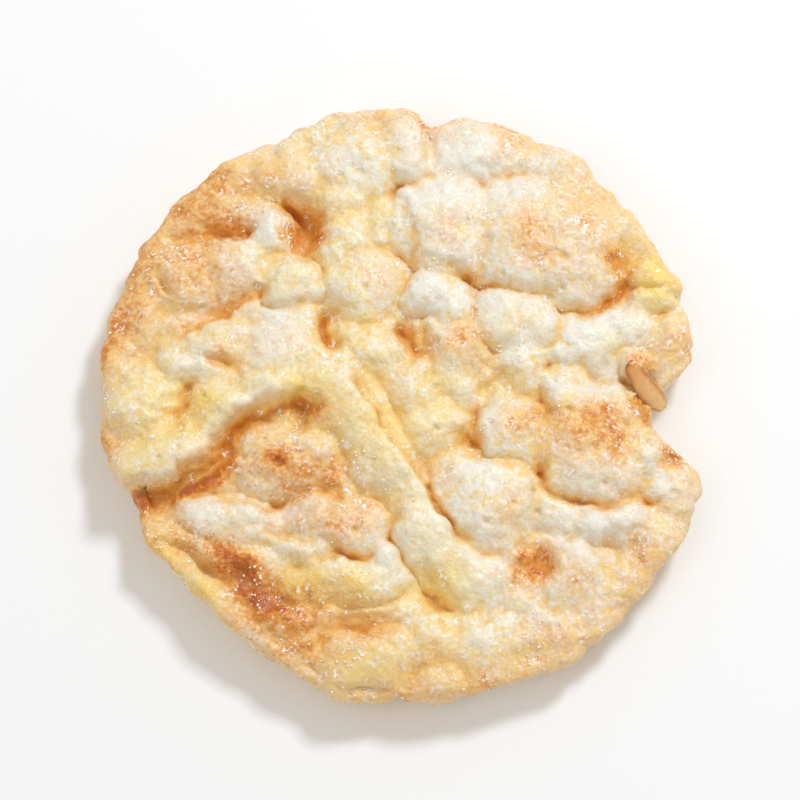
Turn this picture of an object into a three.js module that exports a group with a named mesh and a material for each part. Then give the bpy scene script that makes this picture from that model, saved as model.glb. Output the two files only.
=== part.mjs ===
// A small puffed rice cake, about 50 mm across and 7 mm thick, lying on its flatter side.
// Rice is popped between two hot plates: each grain swells into a plump puff, and the puffs
// weld into one light sheet. The cake is one closed solid. Millimetres, +Z up, and the origin
// is under the middle of the cake's box, on the surface that the cake rests on.
import * as THREE from "three";
import { mergeVertices } from "three/addons/utils/BufferGeometryUtils.js";

// Driving dimensions
const RADIUS = 25.3;          // of the round outline, before its lobes and notches
const CROWN_HEIGHT = 6.1;     // mean height of the top sheet in the middle
const CROWN_FALL = 0.9;       // how much lower the top sheet's mean is where the rim starts
const SOLE_HEIGHT = 0.25;     // mean height of the underside, just clear of its contact spots
const WAIST_HEIGHT = 3.5;     // height of the rim's widest line
const EDGE = 2.2;             // how far in from the outline the top starts to round over
const UNDERCUT = 1.5;         // how much further in the sole ends, because the wall slopes in below
const RIM_SQUARENESS = 2.8;   // 2 is an elliptic rim, more is boxier
const MEAN_RISE = 1.75;       // the relief's own mean, taken off so that CROWN_HEIGHT holds
const RIM_RELIEF = 0.55;      // share of the relief that the rim keeps
const PATTERN_FRONT = -0.7;   // the puffs' places are measured from a point this far along Y
const TOP_CELLS = 60;         // grid cells across the top sheet
const SOLE_CELLS = 30;        // half as many, because the underside is plainer
const RIM_RINGS = 6;          // rows of faces round the rim
const PITCH = 0.9;            // the narrowest crease that these faces can hold

// Lobes and notches of the outline: angle from +X and half-width in degrees, push outwards in mm.
const OUTLINE_LOBES = [
  [22, 6, 0.6], [12, 5, 0.4], [0, 6.5, -2.6], [352, 6, -3.2], [345, 4, 1.4], [338, 6, 0.8],
  [325, 9, 1.2], [307, 13, 1.1], [280, 18, 1.3], [257, 8, 0.5], [226, 18, -1.3], [200, 6, -0.8],
  [135, 13, 0.2], [113, 5, -0.5], [99, 9, 0.3], [83, 3.5, -1.5], [64, 11, 0.6],
];

// Soft puffs, which run into their neighbours: x, y, length, width, turn (degrees), rise.
const PUFFS = [
  // long top pillow, and the toasted arch beside it
  [-9.0, 19.6, 9.0, 7.0, 22, 2.1], [-3.6, 20.9, 9.0, 7.6, 15, 2.5], [-13.6, 20.2, 7.0, 4.4, 35, 1.5],
  [-16.6, 16.9, 9.5, 4.8, 38, 1.7], [-12.6, 16.7, 6.0, 3.6, 8, 1.6], [-21.3, 12.2, 8.0, 3.4, 62, 1.0],
  // upper left
  [-18.2, 10.6, 8.0, 7.2, 10, 2.1], [-13.4, 11.6, 7.6, 6.4, 0, 2.2], [-21.4, 7.4, 7.0, 4.6, 72, 1.5],
  [-23.4, 3.8, 7.0, 3.6, 85, 1.1], [-9.6, 7.1, 7.2, 4.2, -10, 1.6], [-17.6, 6.6, 5.0, 3.4, 0, 1.2],
  // the left shell, which arches over the pocket
  [-15.6, 4.2, 9.0, 6.2, 12, 2.1], [-9.6, 4.2, 9.0, 6.4, -12, 2.3], [-5.6, 2.2, 7.5, 6.0, -48, 2.2],
  [-21.6, -0.2, 7.2, 6.4, 30, 2.3], [-18.6, -4.6, 10.0, 7.4, 14, 2.4], [-21.0, -5.4, 6.4, 6.0, 0, 2.1],
  [-14.6, -0.6, 7.0, 7.0, 25, 2.3], [-10.4, 1.2, 8.5, 5.4, 4, 2.2], [-18.6, 3.0, 5.0, 3.4, 40, 2.1],
  // the ridge that runs down from it, and its slope into the pocket
  [-4.0, -1.2, 9.0, 6.6, -56, 2.3], [-1.2, -5.0, 9.0, 6.8, -58, 2.4], [0.9, -8.2, 5.4, 5.0, -60, 2.1],
  [-6.2, -6.6, 9.0, 6.0, -50, 1.4], [-6.9, -3.8, 4.4, 4.4, 0, 2.1],
  // waves under the pocket, down to the lower left rim
  [-19.8, -9.8, 5.6, 4.4, 0, 0.9], [-13.2, -12.9, 9.6, 4.6, -24, 1.5],
  [-18.2, -13.6, 6.6, 3.6, -38, 0.9], [-15.0, -16.6, 7.6, 4.6, -42, 1.1],
  [-11.2, -18.6, 6.6, 4.4, -32, 1.2], [-7.6, -18.2, 7.0, 3.4, 18, 1.4],
  [-7.4, -12.8, 6.0, 2.6, -8, 1.9], [-1.0, -13.2, 3.0, 2.8, 0, 2.0], [-8.0, -21.0, 6.6, 4.4, -8, 1.2],
  // bottom rim
  [-1.4, -18.0, 6.6, 3.6, 8, 1.3], [2.2, -20.4, 6.4, 5.4, 0, 1.8], [3.2, -23.6, 5.4, 4.2, 0, 1.4],
  [7.4, -20.6, 8.4, 6.6, 12, 1.7], [8.0, -23.4, 6.6, 4.0, 12, 1.2], [12.4, -19.6, 7.4, 6.4, 20, 1.5],
  [16.2, -18.8, 6.6, 4.6, 38, 1.0],
  // lower right
  [6.2, -14.4, 7.6, 6.6, -30, 1.8], [9.6, -16.6, 6.4, 4.8, -12, 1.3], [12.9, -8.6, 7.4, 4.2, -60, 1.5],
  [9.6, -12.4, 4.8, 4.0, 0, 1.4], [14.4, -14.6, 8.6, 7.4, -35, 1.7], [19.0, -15.4, 7.0, 5.4, 50, 1.3],
  [17.4, -10.3, 8.6, 5.0, 5, 2.5], [21.6, -12.0, 6.4, 5.4, 60, 1.6], [22.6, -7.4, 7.6, 5.8, 82, 1.8],
  // middle, and the rim to its right
  [2.8, -2.6, 7.4, 6.6, -48, 1.9], [1.0, 0.8, 6.8, 5.8, -30, 1.9], [-2.6, 4.6, 8.0, 5.4, -16, 1.9],
  [4.9, 1.8, 5.6, 4.6, 0, 1.7], [10.2, 3.6, 5.8, 5.4, 0, 1.8], [15.4, 5.4, 8.8, 6.8, 8, 1.9],
  [19.4, 6.6, 6.0, 5.2, 0, 1.6], [22.8, 4.8, 6.6, 5.0, 70, 1.7],
  // upper middle and upper right
  [-4.6, 14.2, 5.8, 6.6, 0, 1.9], [-3.2, 10.0, 6.6, 6.6, 0, 2.2], [-1.2, 15.6, 5.0, 5.2, 0, 1.7],
  [-5.2, 17.6, 5.4, 4.0, 20, 2.0], [6.6, 21.8, 10.0, 6.6, -4, 2.1], [13.4, 20.0, 9.0, 6.0, -26, 1.7],
  [18.6, 15.8, 7.6, 6.0, -50, 1.4],
];

// Plump pillows, which stand clear of their neighbours: x, y, length, width, turn, rise.
const PILLOWS = [
  // the big white pillow, of two grains
  [3.7, 15.3, 8.8, 9.6, 0, 2.6], [12.4, 14.0, 14.4, 10.8, -6, 3.0],
  // the scalloped pillow on the right, and what carries the curl of bran above it
  [14.4, -0.2, 6.0, 6.2, 0, 2.3], [18.0, -1.0, 6.0, 5.6, 0, 2.2], [16.0, -4.0, 10.4, 8.6, -10, 2.6],
  [20.4, -4.0, 4.8, 5.2, 0, 2.0], [19.6, 3.6, 3.4, 3.0, -30, 1.7],
  // single grains
  [9.3, -2.5, 6.0, 6.0, -30, 2.1], [9.7, 7.0, 7.4, 5.8, -24, 2.3], [3.2, 9.0, 5.8, 4.4, -10, 2.1],
  [4.8, 4.7, 5.2, 6.2, 8, 2.2], [-8.9, 10.3, 5.8, 5.6, 0, 2.3], [7.4, -8.0, 9.6, 8.6, -35, 2.4],
  [0.6, 22.0, 5.4, 5.8, 0, 2.4], [-10.8, 14.9, 5.0, 3.8, -60, 2.0], [-9.8, -4.9, 9.2, 7.0, 0, 2.0],
  [21.9, 10.8, 5.2, 2.8, -10, 1.9], [21.4, 8.7, 4.6, 2.6, 4, 1.7],
  // waves and lobes below the pocket
  [-5.0, -10.5, 9.6, 4.8, -8, 2.1], [-13.8, -9.9, 11.0, 4.2, -16, 1.8],
  [-4.4, -15.1, 10.4, 4.4, 6, 2.0], [2.5, -11.6, 8.0, 5.0, -70, 2.1], [-2.8, -21.8, 8.4, 6.0, 12, 2.0],
  // the curl of bran on the right, as a low narrow ridge
  [20.6, 1.6, 4.2, 1.6, -52, 1.6],
];

// Creases between grains: start, bend and end of a curve, width, depth, and how far the bank
// on its left stands over the bank on its right.
const CREASES = [
  // the left shell's own folds
  [[-17.8, 1.4], [-17.4, 0.0], [-18.4, -2.2], 0.8, 0.45, 0.0],
  // between the lower waves and lobes
  [[-21.4, -12.6], [-17.6, -11.6], [-14.2, -15.0], 0.7, 0.4, 1.2],
  [[-13.4, -16.2], [-12.2, -18.0], [-9.4, -20.4], 0.7, 0.4, 0.3],
  [[-11.8, -19.9], [-9.6, -19.8], [-7.8, -18.6], 0.6, 0.4, 0.0],
  [[-9.9, -21.5], [-8.0, -21.0], [-5.8, -19.6], 0.6, 0.4, 0.0],
  [[-8.8, -18.2], [-6.8, -17.8], [-4.6, -16.8], 0.5, 0.3, 0.0],
  [[0.2, -17.4], [-2.4, -18.8], [-5.0, -18.6], 0.9, 0.6, 0.4],
  [[1.2, -8.0], [-0.6, -10.4], [-0.2, -12.6], 0.8, 0.15, 0.3],
  [[4.2, -18.0], [2.6, -16.6], [1.6, -13.8], 1.1, 0.2, 0.5],
  [[9.2, -17.2], [5.4, -21.0], [1.8, -18.4], 0.8, 0.3, 0.4],
  // lower right shells
  [[3.4, -8.8], [5.0, -12.6], [9.6, -12.6], 0.8, 0.15, 0.3],
  [[10.8, -6.8], [12.0, -8.6], [11.0, -11.2], 0.7, 0.2, 0.0],
  [[14.8, -9.2], [14.4, -11.0], [13.4, -12.4], 0.6, 0.3, 0.0],
  [[18.0, -18.8], [19.0, -12.2], [12.2, -11.6], 0.6, 0.15, 0.3],
  [[14.2, -21.4], [14.4, -17.0], [8.6, -16.4], 0.6, 0.2, 0.4],
  // across the middle
  [[11.2, -5.4], [13.4, -9.0], [18.4, -8.4], 0.7, 0.4, 0.5],
  [[14.2, -9.6], [18.6, -8.2], [22.6, -8.4], 0.7, 0.4, 0.3],
  [[4.8, -2.6], [8.0, -5.0], [11.4, -6.4], 0.8, 0.5, 0.6],
  [[10.2, 0.6], [12.0, -0.8], [11.8, -2.6], 0.6, 0.1, 0.2],
  [[7.0, 2.4], [6.4, -1.4], [4.4, -3.8], 0.8, 0.4, 0.3],
  [[5.2, -3.2], [3.6, -4.8], [1.0, -6.4], 0.8, 0.3, 0.3],
  [[12.8, 7.8], [13.2, 6.0], [12.2, 3.8], 0.7, 0.3, 0.0],
  [[11.8, 3.1], [14.4, 1.2], [17.6, 3.0], 0.7, 0.4, 0.0],
  [[0.4, 6.8], [1.0, 5.6], [1.6, 3.6], 1.0, 0.6, 0.0],
  [[-5.4, 4.0], [-6.2, 6.0], [-6.2, 7.8], 1.0, 0.4, 0.4],
  [[-12.6, 8.6], [-10.0, 7.8], [-7.6, 8.0], 0.8, 0.2, 0.5],
  [[-20.8, 11.4], [-20.2, 10.2], [-19.2, 9.0], 0.6, 0.35, 0.0],
  [[19.0, 3.4], [19.0, 1.2], [20.2, -0.8], 0.5, 0.2, 0.0],
  // round the big pillow and the top rim
  [[6.6, 10.2], [10.0, 10.4], [14.4, 8.6], 0.9, 0.2, 0.5],
  [[13.4, 8.8], [16.8, 7.8], [19.4, 10.8], 0.8, 0.4, 0.6],
  [[1.4, 12.2], [4.4, 12.4], [6.7, 10.6], 0.8, 0.3, 0.5],
  [[0.9, 18.2], [1.3, 14.5], [0.6, 11.0], 0.7, 0.25, 0.4],
  [[7.3, 15.0], [7.0, 12.5], [6.4, 9.8], 0.7, 0.4, 0.0],
  [[-2.0, 18.4], [1.4, 19.6], [6.4, 19.2], 0.7, 0.1, 0.2],
  [[2.2, 21.0], [2.5, 23.0], [3.6, 25.4], 0.8, 0.5, 0.0],
  [[-12.0, 18.8], [-9.8, 18.2], [-8.4, 15.2], 0.8, 0.3, 0.4],
  [[-12.4, 14.4], [-15.4, 15.6], [-19.0, 13.4], 1.1, 0.5, 0.9],
];

// Long folds: the points of each, then its width, depth and step, as for the creases.
const FOLDS = [
  // the valley under the left shell
  [[[-29.0, -7.6], [-24.6, -7.5], [-22.0, -7.1], [-20.5, -7.1], [-19.2, -7.0], [-18.0, -6.2],
    [-16.5, -5.4], [-15.4, -4.6], [-14.9, -3.6], [-14.2, -2.4], [-13.2, -1.4], [-12.2, -0.8],
    [-11.0, -0.4], [-9.5, 0.1], [-8.2, 0.3], [-7.0, -0.1], [-6.2, -0.9]], 1.4, 0.9, 2.5],
  // the long ridge's foot
  [[[4.6, -11.0], [3.8, -9.9], [2.6, -8.1], [1.2, -5.9], [-0.2, -3.9], [-1.4, -2.0], [-2.6, -0.1],
    [-3.6, 1.6], [-4.2, 3.0]], 0.6, 0.5, 1.0],
  // over the crests of the two waves, and under the second one
  [[[-17.6, -8.0], [-15.4, -7.5], [-13.2, -8.1], [-11.2, -8.9], [-9.8, -8.6], [-8.6, -7.8], [-7.0,
    -7.4], [-5.2, -7.9], [-4.0, -9.2]], 0.6, 0.5, 0.0],
  [[[-12.6, -10.2], [-11.0, -10.9], [-9.4, -11.7], [-8.0, -12.4], [-6.4, -13.4], [-4.2, -13.3],
    [-1.8, -12.8]], 0.7, 0.35, -0.4],
  // the shell's slot and its back edge
  [[[-16.4, 3.9], [-15.2, 3.6], [-13.8, 3.4], [-12.8, 3.7]], 0.6, 0.3, 0.3],
  [[[-18.8, 5.4], [-17.3, 6.4], [-15.6, 7.1], [-14.3, 7.8], [-13.3, 8.7], [-12.0, 9.3], [-10.8,
    9.0]], 0.8, 0.5, -0.5],
];

// Pits where three grains leave a hole: x, y, length, width, turn, depth.
const PITS = [
  [-8.4, 15.4, 4.6, 2.8, -60, 1.6], [0.9, 5.2, 3.2, 1.8, -76, 0.9], [-5.9, 6.0, 3.4, 2.0, -75, 0.9],
  [5.5, -3.0, 2.6, 1.9, 30, 0.7], [7.3, 0.9, 1.8, 1.3, 60, 0.7], [11.4, -5.9, 1.8, 1.2, 30, 0.4],
  [18.7, 12.2, 3.4, 1.3, 76, 1.1], [11.6, -13.5, 3.0, 2.2, -60, 1.3], [-14.4, 3.4, 3.0, 0.9, -6, 0.5],
  [2.8, -16.0, 4.0, 2.6, -58, 0.6], [15.6, -19.3, 2.6, 1.4, 20, 0.6], [-2.6, -18.8, 4.0, 1.8, 10, 0.7],
  [22.9, -4.9, 2.4, 1.0, 0, 0.4], [-21.4, -9.0, 4.4, 2.8, -10, 0.9], [-14.6, 15.2, 3.6, 1.6, -6, 0.4],
  [-19.5, 9.9, 1.8, 1.0, -60, 0.5], [10.1, -12.4, 1.1, 0.9, 0, 0.5], [14.2, 12.0, 0.9, 0.8, 0, 0.4],
  [8.9, 10.8, 0.6, 0.6, 0, 0.3], [-10.1, -5.6, 1.2, 0.9, -20, 0.5], [12.6, 11.8, 2.6, 1.6, 10, 0.3],
];

// Waver of the puffs' borders and lumps of the skin: noise seed, size of a lump, amount.
const WAVER_X = [[1, 4.6, 0.75], [2, 1.9, 0.32]];
const WAVER_Y = [[3, 4.6, 0.75], [4, 1.9, 0.32]];
const LUMPS = [[7, 2.6, 0.18], [8, 1.3, 0.1]];
// The underside was pressed flatter: broad low swells with shallow cracks between them.
const SOLE_SWELLS = [[21, 6.5, 0.45], [22, 3.1, 0.3], [23, 1.5, 0.12]];
const SOLE_CRACKS = [24, 5.2, 0.5];   // seed, size, depth
const CRACK_SHARPNESS = 9;
// The rim's wall is a row of folded grains, so its lumps change with height as well.
const WALL_LUMPS = [[31, 5.2, 0.45], [32, 2.6, 0.3]];
const WALL_DRIFT = [1.3, 0.9];        // how far the wall's lumps move along X and Y for each mm down

// Shape of one puff and of how they weld
const PUFF_SPREAD = 1.12;     // a puff's footprint, over its stated size
const PUFF_FALL = 0.95;       // share of its rise that a puff has lost at its stated edge
const WELD = 8.0;             // per mm: higher keeps neighbours more apart
const JOIN = 4.0;             // per mm: the same, between the soft puffs and the pillows
const FLOOR = 0.2;            // the relief never goes lower than this before creases
const PILLOW_SPREAD = 1.06;
const PILLOW_SQUARENESS = 2.3;
const PILLOW_STEEPNESS = 0.6; // 0.5 is a half ellipse, 1 a parabola
const MOAT = [0.12, 0.3];     // depth beside a pillow, as a share of its rise, and how fast it ends
const LIP = 0.3;              // mm over which a proud bank rises from its crease
const BANK = 1.8;             // mm over which it sinks back
const HIGH_SIDE = 0.45;       // share of a crease's width on its higher bank
const LOW_SIDE = 0.7;         // share of it elsewhere

const radians = THREE.MathUtils.degToRad;

// Direction of the slope at one corner of the noise lattice, 0 to 1 of a turn.
function latticeTurn(i, j, seed) {
  let hash = (Math.imul(i, 374761393) + Math.imul(j, 668265263) + Math.imul(seed, 1442695041)) >>> 0;
  hash = Math.imul(hash ^ (hash >>> 13), 1274126177) >>> 0;
  return ((hash ^ (hash >>> 16)) >>> 0) / 4294967296;
}

// Smooth gradient noise, about -1 to 1, with lumps of the given size.
function noise(x, y, seed, size) {
  const i = Math.floor(x / size);
  const j = Math.floor(y / size);
  const u = x / size - i;
  const v = y / size - j;
  const ease = (t) => t * t * t * (t * (t * 6 - 15) + 10);
  const corner = (di, dj) => {
    const angle = 2 * Math.PI * latticeTurn(i + di, j + dj, seed);
    return Math.cos(angle) * (u - di) + Math.sin(angle) * (v - dj);
  };
  const low = THREE.MathUtils.lerp(corner(0, 0), corner(1, 0), ease(u));
  const high = THREE.MathUtils.lerp(corner(0, 1), corner(1, 1), ease(u));
  return 1.5 * THREE.MathUtils.lerp(low, high, ease(v));
}

function octaves(rows, x, y) {
  return rows.reduce((sum, [seed, size, amount]) => sum + amount * noise(x, y, seed, size), 0);
}

// How far (x, y) lies from an oval's middle, squared: 0 in the middle and 1 on its edge.
function ovalReach(x, y, [cx, cy, length, width, turn], spread, squareness) {
  const a = radians(turn);
  const u = ((x - cx) * Math.cos(a) + (y - cy) * Math.sin(a)) / (length * spread / 2);
  const v = ((y - cy) * Math.cos(a) - (x - cx) * Math.sin(a)) / (width * spread / 2);
  return (Math.abs(u) ** squareness + Math.abs(v) ** squareness) ** (2 / squareness);
}

// A crease's curve, as a short run of points.
function creaseLine([start, bend, end]) {
  const curve = new THREE.QuadraticBezierCurve(...[start, bend, end].map((p) => new THREE.Vector2(...p)));
  return curve.getPoints(12);
}

// A crease narrower than the faces is made as wide as they can hold, and shallower to match.
// Tip says how soon its ends fade out: a long fold keeps its depth nearly to the end.
function creaseOf(points, tip, [width, depth, step]) {
  const held = Math.max(width, PITCH);
  return { points, tip, width: held, depth: (depth * width) / held, step };
}

// A fold's points are where it lies on the cake, so the waver is put on them first.
function wavered(x, y) {
  return new THREE.Vector2(x + octaves(WAVER_X, x, y), y + octaves(WAVER_Y, x, y));
}

const CREASE_LINES = [
  ...CREASES.map((row) => creaseOf(creaseLine(row), 6, row.slice(3))),
  ...FOLDS.map((row) => creaseOf(row[0].map(([x, y]) => wavered(x, y)), 10, row.slice(1))),
];

// Distance to a run of points, positive on its left, and how far along it the nearest place
// is, 0 to 1.
function nearestOnLine(x, y, points) {
  let nearest = Infinity;
  let along = 0;
  let left = 1;
  const last = points.length - 1;
  for (let k = 0; k < last; k += 1) {
    const ex = points[k + 1].x - points[k].x;
    const ey = points[k + 1].y - points[k].y;
    const t = THREE.MathUtils.clamp(
      ((x - points[k].x) * ex + (y - points[k].y) * ey) / (ex * ex + ey * ey), 0, 1);
    const d = (x - points[k].x - t * ex) ** 2 + (y - points[k].y - t * ey) ** 2;
    if (d < nearest) {
      nearest = d;
      along = (k + t) / last;
      left = Math.sign(ex * (y - points[k].y) - ey * (x - points[k].x));
    }
  }
  return [left * Math.sqrt(nearest), along];
}

// The top's relief over its floor: puffs welded by a smooth maximum, pillows joined to them
// with a narrow moat, then creases and pits pressed in, then the skin's lumps.
function topRelief(x, y) {
  const { x: wx, y: wy } = wavered(x, y);

  let sum = Math.exp(WELD * FLOOR);
  for (const puff of PUFFS) {
    const reach = ovalReach(wx, wy, puff, PUFF_SPREAD, 2);
    sum += Math.exp(WELD * Math.max(puff[5] * (1 - PUFF_FALL * reach), -1));
  }
  const welded = Math.log(sum) / WELD;

  let plump = 1;
  let moat = 0;
  for (const pillow of PILLOWS) {
    const reach = ovalReach(wx, wy, pillow, PILLOW_SPREAD, PILLOW_SQUARENESS);
    plump += Math.exp(WELD * pillow[5] * Math.max(1 - reach, 0) ** PILLOW_STEEPNESS) - 1;
    moat = Math.max(moat, MOAT[0] * pillow[5] * Math.exp(-Math.max(reach - 1, 0) / MOAT[1]));
  }
  let height = Math.log(Math.exp(JOIN * (welded - moat)) + plump ** (JOIN / WELD)) / JOIN;

  for (const { points, tip, width, depth, step } of CREASE_LINES) {
    const [away, along] = nearestOnLine(wx, wy, points);
    const fade = THREE.MathUtils.clamp(tip * along * (1 - along), 0, 1) ** 0.7;
    const rise = Math.sign(away) * (1 - Math.exp(-((away / LIP) ** 2))) * Math.exp(-Math.abs(away) / BANK);
    const reach = width * (away * step > 0 ? HIGH_SIDE : LOW_SIDE);
    height += fade * ((step / 2) * rise - depth * Math.exp(-((away / reach) ** 2)));
  }
  for (const pit of PITS) height -= pit[5] * Math.exp(-(ovalReach(wx, wy, pit, 1, 2) ** 1.3));
  return height + octaves(LUMPS, x, y);
}

// The underside's relief, outwards: low swells, with cracks where one noise crosses zero.
function soleRelief(x, y) {
  const [seed, size, depth] = SOLE_CRACKS;
  const crack = depth * Math.exp(-((CRACK_SHARPNESS * noise(x, y, seed, size)) ** 2));
  return octaves(SOLE_SWELLS, x, y) - crack;
}

// The outline's radius in a direction.
function outline(angle) {
  return OUTLINE_LOBES.reduce((radius, [at, half, push]) => {
    const away = THREE.MathUtils.euclideanModulo(THREE.MathUtils.radToDeg(angle) - at + 180, 360) - 180;
    return radius + push * Math.exp(-((away / half) ** 2));
  }, RADIUS);
}

// One point of the skin. angle is its direction, and side says where it lies: from 0 to 1 it
// runs out over the top sheet, from 1 to 2 round the rim, and from 2 to 3 back in underneath.
function skinPoint(angle, side) {
  const inner = outline(angle) - EDGE;
  const roll = THREE.MathUtils.clamp(side - 1, 0, 1) * Math.PI;   // 0 on top, pi underneath
  const out = Math.max(Math.sin(roll), 0) ** (2 / RIM_SQUARENESS);
  const up = Math.sign(Math.cos(roll)) * Math.abs(Math.cos(roll)) ** (2 / RIM_SQUARENESS);
  const tuck = UNDERCUT * Math.max(-Math.cos(roll), 0);
  const rim = inner + EDGE * out - tuck;
  const reach = side < 1 ? side * inner : side > 2 ? (3 - side) * rim : rim;
  const crown = side < 1 ? CROWN_FALL * (1 - side * side) : 0;
  const end = up > 0 ? CROWN_HEIGHT - CROWN_FALL : SOLE_HEIGHT;
  const height = WAIST_HEIGHT + (end - WAIST_HEIGHT) * Math.abs(up) + crown;
  const [cos, sin] = [Math.cos(angle), Math.sin(angle)];
  const [x, y] = [reach * cos, reach * sin];
  const top = THREE.MathUtils.smoothstep(Math.cos(roll), -0.5, 0.7);
  const atRim = Math.sin(roll);
  const keep = THREE.MathUtils.lerp(1, RIM_RELIEF, atRim);
  const wall = octaves(WALL_LUMPS, x + WALL_DRIFT[0] * height, y + WALL_DRIFT[1] * height);
  const faces = top * (topRelief(x, y - PATTERN_FRONT) - MEAN_RISE) + (1 - top) * soleRelief(x, y);
  const swell = keep * faces + atRim * wall;
  return [
    x + swell * atRim * cos,
    y + swell * atRim * sin,
    Math.max(height + swell * Math.cos(roll), 0),
  ];
}

// A square grid bent into a disc without a pole: its direction and its reach, 0 to 1.
function discPoint(column, row, cells) {
  const a = (2 * column) / cells - 1;
  const b = (2 * row) / cells - 1;
  if (a === 0 && b === 0) return [0, 0];
  if (Math.abs(a) > Math.abs(b)) return [(Math.PI / 4) * (b / a) + (a < 0 ? Math.PI : 0), Math.abs(a)];
  return [Math.PI / 2 - (Math.PI / 4) * (a / b) + (b < 0 ? Math.PI : 0), Math.abs(b)];
}

// The grid's border, once round anticlockwise from its lowest corner.
function borderCells(cells) {
  const steps = Array.from({ length: cells }, (_, k) => k);
  return [
    ...steps.map((k) => [k, 0]), ...steps.map((k) => [cells, k]),
    ...steps.map((k) => [cells - k, cells]), ...steps.map((k) => [0, cells - k]),
  ];
}

function cakeGeometry() {
  const points = [];
  const faces = [];
  // A square is split between the two corners that lie closer in height, so that creases stay sharp.
  const quad = (a, b, c, d) => {
    const level = (k, m) => Math.abs(points[k][2] - points[m][2]);
    if (level(a, c) < level(b, d)) faces.push(a, b, c, a, c, d);
    else faces.push(b, c, d, b, d, a);
  };
  // A sheet of squares, facing up or down. It gives back its border's points.
  const sheet = (cells, isTop) => {
    const first = points.length;
    const index = (column, row) => first + row * (cells + 1) + column;
    for (let row = 0; row <= cells; row += 1) {
      for (let column = 0; column <= cells; column += 1) {
        const [angle, reach] = discPoint(column, row, cells);
        points.push(skinPoint(angle, isTop ? reach : 3 - reach));
      }
    }
    for (let row = 0; row < cells; row += 1) {
      for (let column = 0; column < cells; column += 1) {
        const corners = [
          index(column, row), index(column + 1, row), index(column + 1, row + 1), index(column, row + 1),
        ];
        quad(...(isTop ? corners : corners.reverse()));
      }
    }
    return borderCells(cells).map((cell) => index(...cell));
  };
  let upper = sheet(TOP_CELLS, true);
  const sole = sheet(SOLE_CELLS, false);
  const angles = borderCells(TOP_CELLS).map((cell) => discPoint(...cell, TOP_CELLS)[0]);
  const around = (list, k) => list[k % list.length];
  for (let ring = 1; ring < RIM_RINGS; ring += 1) {
    const lower = angles.map((angle) => points.push(skinPoint(angle, 1 + ring / RIM_RINGS)) - 1);
    upper.forEach((_, k) => quad(upper[k], lower[k], around(lower, k + 1), around(upper, k + 1)));
    upper = lower;
  }
  // The last ring steps down to the sole's border, which has every second point.
  sole.forEach((low, k) => {
    const [left, middle, right] = [upper[2 * k], upper[2 * k + 1], around(upper, 2 * k + 2)];
    const next = around(sole, k + 1);
    faces.push(left, low, middle, middle, low, next, middle, next, right);
  });
  const geometry = new THREE.BufferGeometry();
  geometry.setAttribute("position", new THREE.Float32BufferAttribute(points.flat(), 3));
  geometry.setIndex(faces);
  const merged = mergeVertices(geometry, 1e-4);
  merged.computeVertexNormals();
  return merged;
}

const puffedRice = new THREE.MeshStandardMaterial({ color: "#f2dfc0", roughness: 0.75, metalness: 0 });
const riceCake = new THREE.Mesh(cakeGeometry(), puffedRice);
riceCake.name = "rice_cake";

// The origin goes under the middle of the box that the uneven outline fills.
const box = new THREE.Box3().setFromObject(riceCake);
riceCake.geometry.translate(-(box.min.x + box.max.x) / 2, -(box.min.y + box.max.y) / 2, -box.min.z);

const cake = new THREE.Group();
cake.add(riceCake);
export default cake;
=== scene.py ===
# %% [markdown]
# # A puffed rice cake
# Rice grains are popped between two hot plates. Each grain swells into a plump puff, the puffs
# weld into one light sheet, and whatever touches the plates turns gold. This lesson builds that
# sheet as one closed skin worked out with numpy, and then gives it the finish of dry, crisp
# starch foam: cream white, toasted in patches, with a fine sparkle of sugar.

# %% Load the fixed frame
import math

import bpy
import numpy as np
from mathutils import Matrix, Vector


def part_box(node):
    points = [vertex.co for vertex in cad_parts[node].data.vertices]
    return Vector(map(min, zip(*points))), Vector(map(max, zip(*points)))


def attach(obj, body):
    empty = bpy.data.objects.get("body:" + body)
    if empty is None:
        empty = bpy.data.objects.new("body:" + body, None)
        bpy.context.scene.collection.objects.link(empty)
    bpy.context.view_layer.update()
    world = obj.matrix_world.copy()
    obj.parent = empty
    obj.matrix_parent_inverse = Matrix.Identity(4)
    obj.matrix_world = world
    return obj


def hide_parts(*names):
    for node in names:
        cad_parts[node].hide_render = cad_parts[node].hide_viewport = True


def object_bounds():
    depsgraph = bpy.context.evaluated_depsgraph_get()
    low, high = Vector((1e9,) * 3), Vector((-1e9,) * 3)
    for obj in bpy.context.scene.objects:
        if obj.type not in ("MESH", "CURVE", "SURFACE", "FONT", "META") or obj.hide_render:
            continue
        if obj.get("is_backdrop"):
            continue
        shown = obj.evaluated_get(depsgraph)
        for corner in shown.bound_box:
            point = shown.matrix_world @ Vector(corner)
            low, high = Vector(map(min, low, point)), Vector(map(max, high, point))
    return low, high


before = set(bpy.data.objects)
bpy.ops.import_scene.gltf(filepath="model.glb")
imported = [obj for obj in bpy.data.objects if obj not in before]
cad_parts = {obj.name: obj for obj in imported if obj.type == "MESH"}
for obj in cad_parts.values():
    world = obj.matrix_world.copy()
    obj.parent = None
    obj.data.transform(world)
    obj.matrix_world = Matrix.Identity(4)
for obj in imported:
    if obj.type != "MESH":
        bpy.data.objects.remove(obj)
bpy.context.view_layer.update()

MM = 0.001
cad_box = np.array([list(corner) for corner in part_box("rice_cake")[:2]]) / MM
print("the cake's box in millimetres:", (cad_box[1] - cad_box[0]).round(2))

# %% [markdown]
# ## Colours and nodes
# Colours are written as sRGB hex codes, as a paint chart gives them, and Cycles works in linear
# light, so one function converts them. Another adds a node with its settings, its plain values
# and its links, which keeps each material readable from top to bottom. A third one starts a
# material with nothing in it but its output.


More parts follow.
